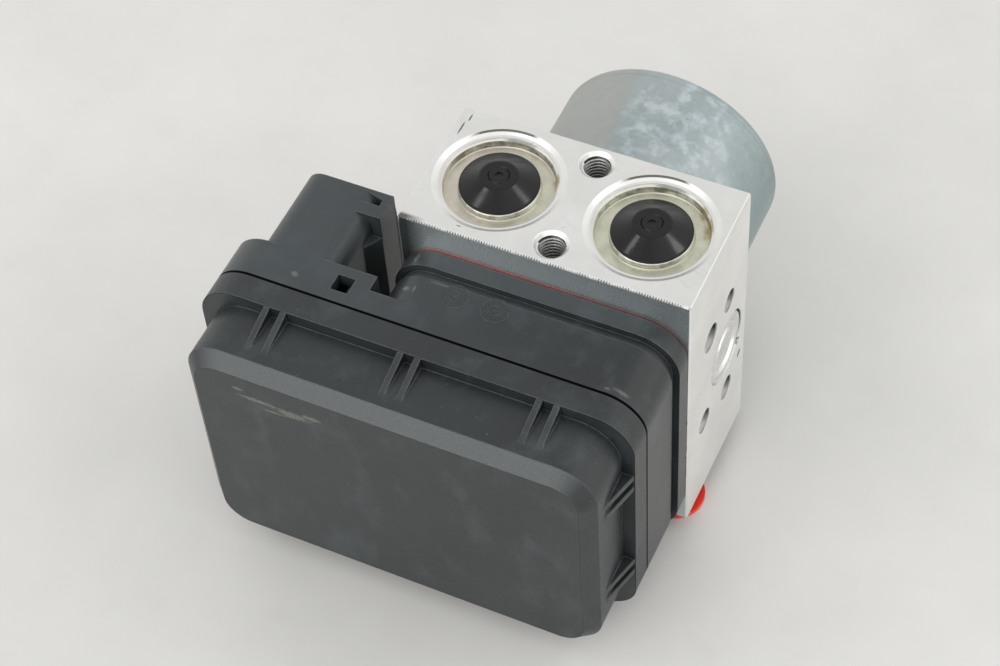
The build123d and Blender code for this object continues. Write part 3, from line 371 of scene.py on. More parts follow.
# the marks join the painted dark lips and the painted shade in the thread roots
marks_and_painted_dark = most(tree, [marks_and_painted_dark, *painted_dark_lip_reflection, painted_thread_shade])
skin = two_tone(tree, cloud, (0.84, 0.835, 0.815), (0.92, 0.915, 0.90))
few_in_front = mix(tree, on_front, 0.55, 0.2)
skin = blend(tree, times(tree, scratched, few_in_front), skin, (0.40, 0.40, 0.39))
skin = paint(tree, skin, marks_and_painted_dark, 0.88, (0.055, 0.052, 0.045))
skin = paint(tree, skin, edge["Rubbed"], 0.3, (0.97, 0.97, 0.96))
# the ground front face is tinted cool, a painted reflection of the bluish plastic in front of it
skin = blend(tree, on_front, skin, (0.72, 0.79, 0.81))
# its upper edge is dull, with shadowed notches between the teeth of the burr
tooth_pitch = 0.00077
tooth_start = block_low.x + 0.0030
turns = times(
    tree, math_of(tree, "SUBTRACT", here["X"], tooth_start), 2 * math.pi / tooth_pitch
)
between = spread(tree, math_of(tree, "COSINE", turns), 0.1, -0.4)
near_edge = times(
    tree,
    spread(tree, here["Y"], block_low.y + 0.00052, block_low.y + 0.00044),
    spread(tree, here["Z"], -0.0006, -0.0005),
)
worn_off = spread(tree, mottled(tree, 180.0, (0.6, 0, 0)), 0.35, 0.5)
skin = paint(tree, skin, near_edge, 0.75, (0.33, 0.34, 0.34))
skin = paint(tree, skin, times(tree, between, near_edge, worn_off), 0.9, (0.04, 0.04, 0.04))
# painted reflection: the front face by the plug shroud is painted dark, standing in for the dark
# shroud it mirrors
painted_shroud_reflection = times(
    tree,
    spread(tree, here["X"], -0.0345, -0.0402),
    spread(tree, here["Y"], block_low.y + 0.002, block_low.y + 0.001),
)
skin = paint(tree, skin, painted_shroud_reflection, 0.85, (0.03, 0.035, 0.035))
# painted shade: the bores of both side faces are painted dark, but for the wall that faces up, which
# takes less of the metal share
bores_reach_x = 0.030
inside = times(
    tree,
    band(
        tree,
        math_of(tree, "ABSOLUTE", here["X"]),
        bores_reach_x,
        bores_reach_x + 0.001,
        block_high.x - 0.0006,
        block_high.x - 0.0002,
    ),
    spread(tree, here["Z"], -0.004, -0.005),
    band(
        tree,
        here["Y"],
        block_low.y + 0.001,
        block_low.y + 0.0015,
        block_high.y - 0.0015,
        block_high.y - 0.001,
    ),
)
painted_bore_shade = times(tree, inside, spread(tree, facing["Z"], 0.85, 0.1, 0.0, 0.95))
lit_wall = times(tree, inside, spread(tree, facing["Z"], 0.7, 0.95, 0.0, 0.85))
skin = blend(tree, painted_bore_shade, skin, (0.02, 0.02, 0.02))
# painted shade: the broken edge over the right face is painted darker below its crest, so it is
# bright only along its crest
painted_chamfer_shade = times(
    tree,
    spread(tree, math_of(tree, "MINIMUM", facing["X"], facing["Z"]), 0.5, 0.62),
    spread(tree, here["Z"], -0.00012, -0.00022, 0.0, 0.75),
)
skin = blend(tree, painted_chamfer_shade, skin, (0.52, 0.52, 0.51))
# the face mill leaves wide arcs, struck from beyond the block's right front corner
from_arc_centre = put(tree, "ShaderNodeMapping", {"Vector": place, "Location": (-0.075, 0.03, 0)})
arcs = put(
    tree,
    "ShaderNodeTexWave",
    {"Vector": from_arc_centre.outputs[0], "Scale": 620.0, "Distortion": 2.0, "Detail Scale": 40.0},
    wave_type="RINGS",
    rings_direction="Z",
).outputs["Fac"]
milled = spread(tree, arcs, 0.0, 1.0, 0.3, 0.37)
sawn = spread(tree, mottled(tree, 2600.0), 0.3, 0.7, 0.36, 0.46)
ground = spread(tree, mottled(tree, 500.0, draw=(1, 1, 0.15)), 0.35, 0.65, 0.265, 0.29)
rough = mix(tree, on_front, mix(tree, on_top, sawn, milled), ground)
front_metal = spread(tree, here["X"], -0.04, 0.04, 0.80, 0.93)
metal = math_of(tree, "SUBTRACT", mix(tree, on_front, 0.95, front_metal), lit_wall)
tree.links.new(metal, shader.inputs["Metallic"])
arc_height = times(tree, arcs, spread(tree, cloud, 0.4, 0.6, 0.3, 1.0))
drawn = mottled(tree, 900.0, draw=(1, 1, 0.04))
drawn = mix(tree, on_front, drawn, spread(tree, drawn, 0, 1, 0.46, 0.54))
tooled = mix(tree, on_top, drawn, arc_height)
height = math_of(tree, "SUBTRACT", tooled, times(tree, scratched, 1.2))
normal = bump(tree, height, 0.35, 0.000012, edge["Normal"])
# the metal rolled over the rim of each side plug has a ring of small dents
plug_low, plug_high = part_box("pump_plug_right")
plug_centre = (plug_low + plug_high) / 2
plug_r = (plug_high.y - plug_low.y) / 2
dent_count = 16
out_y = math_of(tree, "SUBTRACT", here["Y"], plug_centre.y)
out_z = math_of(tree, "SUBTRACT", here["Z"], plug_centre.z)
from_plug = math_of(tree, "ADD", times(tree, out_y, out_y), times(tree, out_z, out_z))
from_plug = math_of(tree, "SQRT", from_plug)
ring = band(
    tree, from_plug, plug_r - 0.0002, plug_r + 0.0003, plug_r + 0.0007, plug_r + 0.0012
)
lobes = math_of(tree, "COSINE", times(tree, math_of(tree, "ARCTAN2", out_z, out_y), dent_count))
normal = bump(tree, times(tree, ring, on_side, lobes), 0.8, 0.0003, normal)
feed(tree, shader, skin, rough, normal)
dress(block_metal, "hydraulic_block")


def new_tree(name, **numbers):
    """A geometry tree with named numbers as inputs; returns it, its inputs and its output."""
    made = bpy.data.node_groups.new(name, "GeometryNodeTree")
    made.interface.new_socket("Geometry", in_out="OUTPUT", socket_type="NodeSocketGeometry")
    for label, kind in numbers.items():
        made.interface.new_socket(label, in_out="INPUT", socket_type="NodeSocket" + kind)
    return made, put(made, "NodeGroupInput").outputs, put(made, "NodeGroupOutput").inputs[0]


def shape(tree, kind, feeds, **settings):
    """A node of a geometry tree; returns its first output."""
    return put(tree, "GeometryNode" + kind, feeds, **settings).outputs[0]


def arrow(tree, **parts):
    """A vector with the given parts; the others are 0."""
    return put(tree, "ShaderNodeCombineXYZ", parts).outputs[0]


def close_tree(tree, geometry, look, result):
    """Ends a tree: its instances become real and take their finish."""
    real = shape(tree, "RealizeInstances", {"Geometry": geometry})
    tree.links.new(shape(tree, "SetMaterial", {"Geometry": real, "Material": look}), result)


def grow(name, tree, look, record_slot, **values):
    """Runs a geometry tree, keeps its result as a plain mesh and lets it ride on the block."""
    seed = bpy.data.objects.new("seed_of_" + name, bpy.data.meshes.new("seed_of_" + name))
    scene.collection.objects.link(seed)
    maker = seed.modifiers.new("maker", "NODES")
    maker.node_group = tree
    for item in tree.interface.items_tree:
        if item.in_out == "INPUT":
            maker[item.identifier] = values[item.name]
    ready = seed.evaluated_get(bpy.context.evaluated_depsgraph_get())
    mesh = bpy.data.meshes.new_from_object(ready)
    mesh.name = name
    bpy.data.objects.remove(seed)
    piece = bpy.data.objects.new(name, mesh)
    scene.collection.objects.link(piece)
    mesh.materials.clear()
    mesh.materials.append(look)
    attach(piece, "block")


# thread of the two bracket holes, a ridge wound down the inside of each wall
thread_tree, takes, result = new_tree(
    "wound_ridge",
    Radius="Float",
    Pitch="Float",
    Turns="Float",
    Height="Float",
    Spacing="Float",
    Top="Float",
)
drop = times(thread_tree, takes["Pitch"], takes["Turns"])
coil = shape(
    thread_tree,
    "CurveSpiral",
    {
        "Resolution": 40,
        "Rotations": takes["Turns"],
        "Start Radius": takes["Radius"],
        "End Radius": takes["Radius"],
        "Height": drop,
    },
)
coil = shape(thread_tree, "SetCurveNormal", {"Curve": coil}, mode="Z_UP")
kite = shape(
    thread_tree,
    "CurvePrimitiveQuadrilateral",
    {"Width": takes["Pitch"], "Bottom Height": takes["Height"], "Top Height": takes["Height"]},
    mode="KITE",
)
ridge = shape(
    thread_tree, "CurveToMesh", {"Curve": coil, "Profile Curve": kite, "Fill Caps": True}
)
lowered = arrow(thread_tree, Z=math_of(thread_tree, "SUBTRACT", takes["Top"], drop))
ridge = shape(thread_tree, "Transform", {"Geometry": ridge, "Translation": lowered})
holes = shape(
    thread_tree,
    "MeshLine",
    {
        "Count": 2,
        "Start Location": arrow(thread_tree, Y=times(thread_tree, takes["Spacing"], -0.5)),
        "Offset": arrow(thread_tree, Y=takes["Spacing"]),
    },
)
both = shape(thread_tree, "InstanceOnPoints", {"Points": holes, "Instance": ridge})
close_tree(thread_tree, both, block_metal, result)
grow(
    "bracket_hole_threads",
    thread_tree,
    block_metal,
    "block_aluminium",
    Radius=0.00402,
    Pitch=0.00125,
    Turns=9.5,
    Height=0.00068,
    Spacing=hole_spacing,
    Top=-0.0013,
)

# saw-tooth burr that the face mill folds over the front edge, torn metal without a polish
torn_metal, tree, shader = new_finish("torn_aluminium", 0.6, 0.35)
fine = mottled(tree, 2500.0)
base = two_tone(tree, fine, (0.42, 0.43, 0.43), (0.72, 0.72, 0.71))
feed(tree, shader, base, spread(tree, fine, 0.3, 0.7, 0.5, 0.65))
burr_tree, takes, result = new_tree(
    "folded_teeth",
    Count="Int",
    Start="Vector",
    Step="Vector",
    Depth="Float",
    Root="Float",
    Tip="Float",
)
row = shape(
    burr_tree,
    "MeshLine",
    {"Count": takes["Count"], "Start Location": takes["Start"], "Offset": takes["Step"]},
)
tooth = shape(
    burr_tree,
    "MeshCone",
    {
        "Vertices": 4,
        "Radius Bottom": takes["Root"],
        "Radius Top": takes["Tip"],
        "Depth": takes["Depth"],
    },
)
smallest_tooth = (0.7, 0.35, 0.45)
largest_tooth = (1.15, 0.55, 1.1)
jitter = put(
    burr_tree,
    "FunctionNodeRandomValue",
    {0: smallest_tooth, 1: largest_tooth, "Seed": 4},
    data_type="FLOAT_VECTOR",
).outputs[0]
points_down = (math.pi, 0, 0)
teeth = shape(
    burr_tree,
    "InstanceOnPoints",
    {"Points": row, "Instance": tooth, "Rotation": points_down, "Scale": jitter},
)
close_tree(burr_tree, teeth, torn_metal, result)
tooth_behind_face = 0.00002
tooth_below_top = 0.00018
grow(
    "front_edge_burr",
    burr_tree,
    torn_metal,
    "block_aluminium",
    Count=104,
    Start=(tooth_start, block_low.y + tooth_behind_face, -tooth_below_top),
    Step=(tooth_pitch, 0, 0),
    Depth=0.0006,
    Root=0.00019,
    Tip=0.00002,
)

# ---------------------------------------------------------------- plugs and pump in the block
# Turned steel and alloy parts pressed into the bores: the valve cartridges, the two pump
# halves with their ground pistons and springs, the two staked side plugs and the small plugs
# of the cross drillings.


def turned_metal(name, tint, roughness, draw=(1, 1, 1), depth=0.000008, metallic=1.0):
    """Metal with a fine grain, drawn out along its axis or even, faint clouds and rubbed edges."""
    look, tree, shader = new_finish(name, roughness, metallic)
    edge = use(tree, soft_edge, Radius=0.00012, Width=0.0003)
    lines = mottled(tree, 1100.0, (0.2, 0.1, 0), draw)
    dull = [part * 0.82 for part in tint]
    bright = [min(part * 1.12, 0.97) for part in tint]
    base = two_tone(tree, mottled(tree, 160.0, (0, 0, 0.3)), dull, tint)
    base = paint(tree, base, edge["Rubbed"], 0.7, bright)
    rough = spread(tree, lines, 0.3, 0.7, roughness - 0.06, roughness + 0.08)
    feed(tree, shader, base, rough, bump(tree, lines, 0.5, depth, edge["Normal"]))
    return look


sleeve_steel = turned_metal("sleeve_steel", (0.66, 0.66, 0.67), 0.28)
hard_steel = turned_metal("hard_steel", (0.62, 0.62, 0.63), 0.2, draw=(1, 0.08, 1))
spring_steel = turned_metal("spring_steel", (0.46, 0.46, 0.48), 0.32)
plug_alloy = turned_metal("plug_alloy", (0.9, 0.9, 0.89), 0.27, draw=(0.06, 1, 1))
dress(sleeve_steel, "gallery_plugs", "pump_sleeve_left", "pump_sleeve_right", "valve_cartridges")
dress(hard_steel, "pump_piston_left", "pump_piston_right")
dress(plug_alloy, "pump_plug_left", "pump_plug_right")


def wind_spring(name, along, fixed_end):
    """A copy of the spring, in spring steel, that rides on the block in place of the original."""
    low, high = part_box(name)
    mesh = nodes[name].data.copy()
    mesh.materials.clear()
    mesh.materials.append(spring_steel)
    spring = bpy.data.objects.new("wound_" + name, mesh)
    scene.collection.objects.link(spring)
    axis = Vector((0, 0, 0))
    axis[along] = 1
    anchor = (low + high) / 2
    anchor[along] = fixed_end
    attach(spring, "block")
    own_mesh(spring)
    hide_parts(name)


pump_seat = 0.0373
for side, fixed_end in (("right", pump_seat), ("left", -pump_seat)):
    wind_spring("pump_spring_" + side, 0, fixed_end)

# ---------------------------------------------------------------- accumulators
# Each is a bore with a sealed piston on a coil spring under a pressed steel cover, which is
# yellow passivated and has started to stain at its rim. A glossy black vent cap closes it.
cover_coating, tree, shader = new_finish("cover_coating", 0.42, 0.75)
edge = use(tree, soft_edge, Radius=0.0002, Width=0.0005)
cloud = mottled(tree, 220.0)
here = split(tree, own_place(tree))
warm = two_tone(tree, cloud, (0.62, 0.575, 0.49), (0.74, 0.69, 0.60))
green = two_tone(tree, cloud, (0.59, 0.59, 0.475), (0.73, 0.73, 0.60))
base = blend(tree, spread(tree, here["X"], -0.030, -0.004), warm, green)
# the raised ring round the vent cap is paler, and the far side of each cover is tarnished
base = blend(tree, spread(tree, here["Z"], -0.0038, -0.0033), base, (0.88, 0.865, 0.80))
tarnish_reach = (0.009, 0.0016, 0.0011)
tarnish = stains(
    tree,
    fineness=500.0,
    ragged=0.8,
    spots=[((x - 0.002, 0.0168, -0.0022), tarnish_reach) for x, y in accumulator_axes],
)
base = paint(tree, base, tarnish, 0.75, (0.22, 0.20, 0.16))
# painted shadow lies in the seam at the cover's rim, mostly on the far side, and on the near side
# along the foot of its ring under the cap
seam_r = 0.0157
foot_r = 0.0113
painted_seam_shadow = []
for axis in accumulator_axes:
    distance, off = radius_from(tree, axis)
    seam = band(tree, distance, seam_r - 0.00025, seam_r - 0.0001, seam_r + 0.0001, seam_r + 0.0003)
    painted_seam_shadow.append(times(tree, seam, spread(tree, off["Y"], -0.006, 0.006, 0.15, 1.0)))
    foot = band(tree, distance, foot_r - 0.00025, foot_r - 0.0001, foot_r + 0.0001, foot_r + 0.00025)
    painted_seam_shadow.append(times(tree, foot, spread(tree, off["Y"], -0.003, -0.007, 0.0, 0.9)))
painted_seam_shadow = times(tree, most(tree, painted_seam_shadow), spread(tree, cloud, 0.35, 0.6, 0.25, 0.85))
base = blend(tree, painted_seam_shadow, base, (0.10, 0.095, 0.07))
rust = stains(
    tree,
    fineness=700.0,
    ragged=1.1,
    spots=(
        ((-0.0078, 0.0084, -0.0030), (0.0022, 0.0034, 0.0030)),
        ((0.0364, 0.0090, -0.0030), (0.0028, 0.0052, 0.0030)),
        ((0.0333, 0.0126, -0.0036), (0.0024, 0.0024, 0.0030)),
    ),
)
base = paint(tree, base, rust, 0.62, (0.36, 0.25, 0.09))
rough = spread(tree, cloud, 0.3, 0.7, 0.36, 0.48)
rough = math_of(tree, "ADD", rough, times(tree, rust, 0.3))
normal = bump(tree, mottled(tree, 2400.0), 0.4, 0.00001, edge["Normal"])
feed(tree, shader, base, rough, normal)
dress(cover_coating, "accumulator_cover_left", "accumulator_cover_right")

cap_plastic, tree, shader = new_finish("cap_plastic", 0.16, 0.0, 0.45)
edge = use(tree, soft_edge, Radius=0.00025, Width=0.0005)
smear = mottled(tree, 190.0, (0.4, 0, 0))
dusty = spread(tree, mottled(tree, 1900.0, (0.7, 0, 0)), 0.72, 0.8, 0, 0.25)
base = blend(tree, dusty, (0.002, 0.002, 0.0022), (0.16, 0.16, 0.15))
rough = spread(tree, smear, 0.35, 0.7, 0.11, 0.24)
feed(tree, shader, base, rough, bump(tree, smear, 0.3, 0.00008, edge["Normal"]))
dress(cap_plastic, "vent_cap_left", "vent_cap_right")

piston_alloy = turned_metal("piston_alloy", (0.8, 0.8, 0.8), 0.3, draw=(1, 1, 0.08))
dress(piston_alloy, "accumulator_piston_left", "accumulator_piston_right")
spring_top = -0.0035
for side in ("right", "left"):
    wind_spring("accumulator_spring_" + side, 2, spring_top)


def smooth_moulding(name, tint, roughness, fineness=1700.0, depth=0.00001, dust=0.12):
    """Rubber or plastic with a faint skin texture, cloudiness and a trace of dust."""
    look, tree, shader = new_finish(name, roughness)
    edge = use(tree, soft_edge, Radius=0.0002, Width=0.0005)
    fine = mottled(tree, fineness, (0.1, 0, 0))
    deep = [part * 0.75 for part in tint]
    base = two_tone(tree, mottled(tree, 120.0, (0, 0.6, 0)), deep, tint)
    base = blend(tree, spread(tree, fine, 0.68, 0.78, 0, dust), base, (0.3, 0.3, 0.28))
    rough = spread(tree, fine, 0.3, 0.7, roughness - 0.05, roughness + 0.08)
    feed(tree, shader, base, rough, bump(tree, fine, 0.5, depth, edge["Normal"]))
    return look


seal_rubber = smooth_moulding("seal_rubber", (0.018, 0.018, 0.018), 0.5)
dress(seal_rubber, "accumulator_seal_left", "accumulator_seal_right")

# ---------------------------------------------------------------- pump motor
# A deep drawn steel can, zinc plated and passivated, whose skin has bloomed in pale patches
# on top. Inside are ferrite magnets, the wound rotor on its ground shaft, the commutator and
# the brushes in their moulded holder.
can_zinc, tree, shader = new_finish("can_zinc", 0.5, 0.7)
edge = use(tree, soft_edge, Radius=0.0003, Width=0.0006)
place = own_place(tree)
here = split(tree, place)
cells = put(
    tree, "ShaderNodeTexVoronoi", {"Vector": place, "Scale": 420.0, "Detail": 1.0}, feature="F1"
).outputs["Color"]
cell_tone = put(tree, "ShaderNodeSeparateColor", {0: cells}).outputs[0]
bloom = mottled(tree, 230.0)
drift = mottled(tree, 60.0, (0.2, 0, 0), (1, 0.6, 1))
skin = two_tone(tree, drift, (0.31, 0.375, 0.385), (0.42, 0.475, 0.475))
skin = paint(tree, skin, cell_tone, 0.25, (0.46, 0.52, 0.535))
# pale bloom on top, plain metal towards the left, and painted shade darkening the right flank
top_of_can = ((0.010, 0.046, -0.0165), (0.022, 0.042, 0.024))
patch = stains(tree, fineness=130.0, ragged=2.6, spots=[top_of_can])
bloomed = times(tree, spread(tree, bloom, 0.46, 0.64), patch)
skin = paint(tree, skin, bloomed, 0.75, (0.60, 0.665, 0.70))
leftwards = math_of(tree, "ADD", here["X"], times(tree, drift, 0.012))
skin = blend(tree, spread(tree, leftwards, 0.002, -0.006), skin, (0.42, 0.435, 0.42))
# painted shade: the right flank of the can is painted darker
skin = paint(tree, skin, spread(tree, here["X"], 0.022, 0.034), 0.4, (0.24, 0.29, 0.30))
skin = paint(tree, skin, edge["Rubbed"], 0.35, (0.55, 0.58, 0.6))
# the faint line that the drawing die has left near the closed end
draw_line_y = 0.0660
die_line = spread(tree, off_by(tree, here["Y"], draw_line_y), 0.00028, 0.0001)
skin = paint(tree, skin, die_line, 0.16, (0.10, 0.12, 0.12))
rough = spread(tree, bloom, 0.35, 0.65, 0.46, 0.6)
fine = times(tree, mottled(tree, 1500.0), 0.5)
height = math_of(tree, "ADD", times(tree, bloom, 1.5), fine)
feed(tree, shader, skin, rough, bump(tree, height, 0.3, 0.00003, edge["Normal"]))
dress(can_zinc, "motor_can")

plate_zinc = turned_metal("plate_zinc", (0.5, 0.54, 0.56), 0.42, depth=0.00001, metallic=0.8)
screw_steel = turned_metal("screw_steel", (0.52, 0.52, 0.5), 0.36, depth=0.00001)
contact_tin = turned_metal("contact_tin", (0.78, 0.77, 0.73), 0.25, draw=(1, 0.08, 1))
commutator_copper = turned_metal(
    "commutator_copper", (0.78, 0.42, 0.26), 0.26, draw=(1, 0.05, 1)
)
dress(plate_zinc, "motor_end_plate")
dress(screw_steel, "motor_screws", "housing_screws")
dress(contact_tin, "motor_feed_blades", "plug_pins")
dress(commutator_copper, "commutator")
dress(hard_steel, "rotor_shaft", "eccentric_bearing")
dress(hard_steel, "nose_bearing", "front_bearing", "rear_bearing")
dress(spring_steel, "brush_springs")

# bands of a wave texture of scale 1 are this far apart, in metres
plain_band = 0.314


def layered(name, tints, roughness, metallic, direction, pitch, depth):
    """Stacked sheets or laid wire: even lines at a pitch in metres, across one axis."""
    look, tree, shader = new_finish(name, roughness, metallic)
    edge = use(tree, soft_edge, Radius=0.0002, Width=0.0004)
    feeds = {"Vector": own_place(tree), "Scale": plain_band / pitch}
    feeds.update({"Distortion": 0.4, "Detail Scale": 30.0})
    wave = put(tree, "ShaderNodeTexWave", feeds, bands_direction=direction).outputs["Fac"]
    rough = spread(tree, wave, 0, 1, roughness + 0.1, roughness)
    normal = bump(tree, wave, 0.7, depth, edge["Normal"])
    feed(tree, shader, blend(tree, wave, *tints), rough, normal)
    return look


sheet_tints = ((0.16, 0.16, 0.17), (0.42, 0.42, 0.43))
wire_tints = ((0.36, 0.12, 0.05), (0.78, 0.34, 0.16))
core_steel = layered(
    "core_steel", sheet_tints, 0.38, 1.0, direction="Y", pitch=0.0005, depth=0.00005
)
winding_copper = layered(
    "winding_copper", wire_tints, 0.28, 0.9, direction="X", pitch=0.0007, depth=0.00015
)
dress(core_steel, "rotor_core")
dress(winding_copper, "rotor_windings")
magnet_ferrite = smooth_moulding(
    "magnet_ferrite", (0.05, 0.05, 0.052), 0.6, fineness=2600.0, depth=0.00003
)
holder_plastic = smooth_moulding("holder_plastic", (0.03, 0.03, 0.03), 0.48)
brush_carbon = smooth_moulding(
    "brush_carbon", (0.035, 0.035, 0.036), 0.55, fineness=3000.0, depth=0.00003
)
dress(magnet_ferrite, "motor_magnets")
dress(holder_plastic, "brush_holder", "motor_feed_guide")
dress(brush_carbon, "brushes")

# ---------------------------------------------------------------- controller
# A glass-filled nylon housing with its ribbed cover welded on along one plane. It carries the
# coils over the valve cartridges, the circuit board and the pins of the harness plug, and
# seals to the block through a thin red rubber gasket.
coil_plastic = smooth_moulding("coil_plastic", (0.02, 0.02, 0.02), 0.42)
board_laminate = smooth_moulding(
    "board_laminate", (0.015, 0.12, 0.05), 0.35, fineness=900.0, depth=0.00002, dust=0.0
)
chip_plastic = smooth_moulding("chip_plastic", (0.02, 0.02, 0.02), 0.45)
dress(coil_plastic, "solenoid_coils")
dress(board_laminate, "circuit_board")
dress(chip_plastic, "board_parts")

gasket_rubber, tree, shader = new_finish("gasket_rubber", 0.5)
# the gasket is darker towards the right, and in clouds of grime
rightwards = spread(tree, split(tree, own_place(tree))["X"], -0.012, 0.03, 0.0, 0.75)
grime = spread(tree, mottled(tree, 260.0), 0.4, 0.65, 0.0, 0.35)
darker_rightwards_and_grime = math_of(tree, "ADD", rightwards, grime)
base = blend(tree, darker_rightwards_and_grime, (0.21, 0.014, 0.012), (0.05, 0.007, 0.006))
fine = mottled(tree, 2000.0)
feed(tree, shader, base, spread(tree, fine, 0.3, 0.7, 0.42, 0.58), bump(tree, fine, 0.5, 0.00002))
dress(gasket_rubber, "controller_gasket")

# spark-eroded grain of a mould, its soft sheen, dust in the grain and rubbed edges
mould_skin, takes, gives = new_group(
    "mould_skin",
    {"Fineness": "Float", "Depth": "Float", "Radius": "Float"},
    {"Tone": "Float", "Dust": "Float", "Rubbed": "Float", "Sheen": "Float", "Normal": "Vector"},
)
edge = use(mould_skin, soft_edge, Radius=takes["Radius"], Width=0.0007)
fine = mottled(mould_skin, takes["Fineness"])
cloud = mottled(mould_skin, 40.0, (0.3, 0.1, 0.7))
lint = mottled(mould_skin, 1500.0, (0.1, 0.4, 0.2))
made = {
    "Tone": spread(mould_skin, cloud, 0.35, 0.65),
    "Dust": spread(mould_skin, lint, 0.69, 0.76),
    "Rubbed": edge["Rubbed"],
    "Sheen": spread(mould_skin, fine, 0.3, 0.7),
    "Normal": bump(mould_skin, fine, 0.8, takes["Depth"], edge["Normal"]),
}
for label, value in made.items():
    mould_skin.links.new(value, gives[label])

# the plane along which the cover is welded to the housing
joint_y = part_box("controller_cover")[1].y


def nylon(name, fineness, depth, radius, roughness, left_lightening, scuffs):
    """Black glass-filled nylon: grain, sheen, scuffs, and a dark line along the welded joint."""
    look, tree, shader = new_finish(name, roughness, 0.0, 0.62)
    skin = use(tree, mould_skin, Fineness=fineness, Depth=depth, Radius=radius)
    here = split(tree, own_place(tree))
    base = blend(tree, skin["Tone"], (0.0108, 0.0145, 0.0162), (0.0166, 0.0214, 0.0234))
    # lighter and bluer towards the left
    lighter_leftwards = spread(tree, here["X"], 0.02, -0.07, 0.0, left_lightening)
    base = blend(tree, lighter_leftwards, base, (0.058, 0.071, 0.077))
    # what slopes up towards the front is painted lighter and bluish, a painted sheen with specks of
    # dust in it
    outward = put(tree, "ShaderNodeTexCoord").outputs["Normal"]
    sloping = vector_of(tree, "DOT_PRODUCT", outward, (0.0, -0.707, 0.707))["Value"]
    speckled = spread(tree, mottled(tree, 3600.0, (0.4, 0.1, 0.5)), 0.3, 0.7, 0.3, 0.8)
    painted_sheen_and_dust = times(tree, spread(tree, sloping, 0.86, 0.97), speckled)
    base = blend(tree, painted_sheen_and_dust, base, (0.085, 0.098, 0.104))
    lines = scratches(tree, turn=(0.4, 0.3, 0.7), along=120.0, across=2400.0, share=0.11)
    base = paint(tree, base, lines, 0.5, (0.12, 0.125, 0.125))
    film = spread(tree, mottled(tree, 95.0, (0.5, 0.2, 0.9), (1, 1, 0.6)), 0.52, 0.72)
    base = paint(tree, base, film, 0.5, (0.050, 0.064, 0.070))
    # edges are rubbed pale in places, and a painted shadow darkens the rim of the face that looks to
    # the front
    chipped = spread(tree, mottled(tree, 600.0, (0.2, 0.2, 0.1)), 0.35, 0.6, 0.25, 1.0)
    base = paint(tree, base, times(tree, skin["Rubbed"], chipped), 0.62, (0.12, 0.128, 0.13))
    in_front = spread(tree, split(tree, own_facing(tree))["Y"], -0.9, -0.97)
    painted_rim_shadow = times(tree, skin["Rubbed"], in_front)
    base = blend(tree, spread(tree, painted_rim_shadow, 0, 0.5, 0, 0.9), base, (0.004, 0.004, 0.004))
    base = paint(tree, base, skin["Dust"], 0.55, (0.3, 0.3, 0.28))
    worn = stains(tree, fineness=800.0, ragged=1.4, spots=scuffs)
    base = paint(tree, base, worn, 0.6, (0.155, 0.15, 0.13))
    joint = spread(tree, off_by(tree, here["Y"], joint_y), 0.00046, 0.00036)
    base = blend(tree, joint, base, (0.001, 0.001, 0.001))
    rough = spread(tree, skin["Sheen"], 0, 1, roughness - 0.05, roughness + 0.08)
    rough = math_of(tree, "SUBTRACT", rough, times(tree, worn, 0.14))
    rough = math_of(tree, "ADD", rough, times(tree, joint, 0.5))
    # a black metal share takes the gloss away inside the joint and along the painted rim shadow
    lightless = times(tree, most(tree, [joint, painted_rim_shadow]), 0.93)
    tree.links.new(lightless, shader.inputs["Metallic"])
    feed(tree, shader, base, rough, skin["Normal"])
    return look


housing_scuffs = (
    ((-0.0345, -0.0352, -0.0110), (0.0016, 0.0010, 0.003)),
    ((-0.0318, -0.0352, -0.0110), (0.0005, 0.0012, 0.003)),
    ((0.0326, -0.0455, -0.0125), (0.0030, 0.0008, 0.003)),
    ((0.0290, -0.0462, -0.0115), (0.0010, 0.0005, 0.003)),
    ((-0.0255, -0.0314, -0.0110), (0.0030, 0.0003, 0.003)),
    ((-0.0360, -0.0250, -0.0105), (0.0010, 0.0020, 0.002)),
    ((-0.0640, -0.0430, -0.0110), (0.0014, 0.0011, 0.003)),
)
cover_scuffs = (
    ((-0.0600, -0.0755, -0.0262), (0.0075, 0.003, 0.0008)),
    ((-0.0500, -0.0755, -0.0272), (0.0060, 0.003, 0.0016)),
    ((-0.0440, -0.0755, -0.0258), (0.0030, 0.003, 0.0010)),
    ((-0.0660, -0.0755, -0.0235), (0.0020, 0.003, 0.0007)),
    ((-0.0560, -0.0755, -0.0290), (0.0040, 0.003, 0.0005)),
)
housing_plastic = nylon(
    "housing_plastic",
    fineness=2300.0,
    depth=0.00002,
    radius=0.0004,
    roughness=0.33,
    left_lightening=0.5,
    scuffs=housing_scuffs,
)
cover_plastic = nylon(
    "cover_plastic",
    fineness=1700.0,
    depth=0.00005,
    radius=0.0005,
    roughness=0.4,
    left_lightening=0.08,
    scuffs=cover_scuffs,
)
dress(housing_plastic, "controller_housing")
dress(cover_plastic, "controller_cover")

# two round marks of the mould's date inserts, each a ring with a pointer and short ticks
dial_tree, takes, result = new_tree("dial_marks", Radius="Float", Wire="Float", Ticks="Int")
wire = shape(dial_tree, "CurvePrimitiveCircle", {"Resolution": 6, "Radius": takes["Wire"]})
dial = put(dial_tree, "GeometryNodeJoinGeometry")
inner_share = 0.42
tick_share = 0.74
pointer_share = 0.3
tick_size = (0.00022, 0.00042, 0.00014)
first_dial = (-0.0203, -0.0338, -0.01058)
to_next_dial = (0.0119, -0.0003, 0)
for share in (1.0, inner_share):
    radius = times(dial_tree, takes["Radius"], share)
    circle = shape(dial_tree, "CurvePrimitiveCircle", {"Resolution": 48, "Radius": radius})
    ring = shape(dial_tree, "CurveToMesh", {"Curve": circle, "Profile Curve": wire})
    dial_tree.links.new(ring, dial.inputs[0])
foot = arrow(dial_tree, X=times(dial_tree, takes["Radius"], -pointer_share))
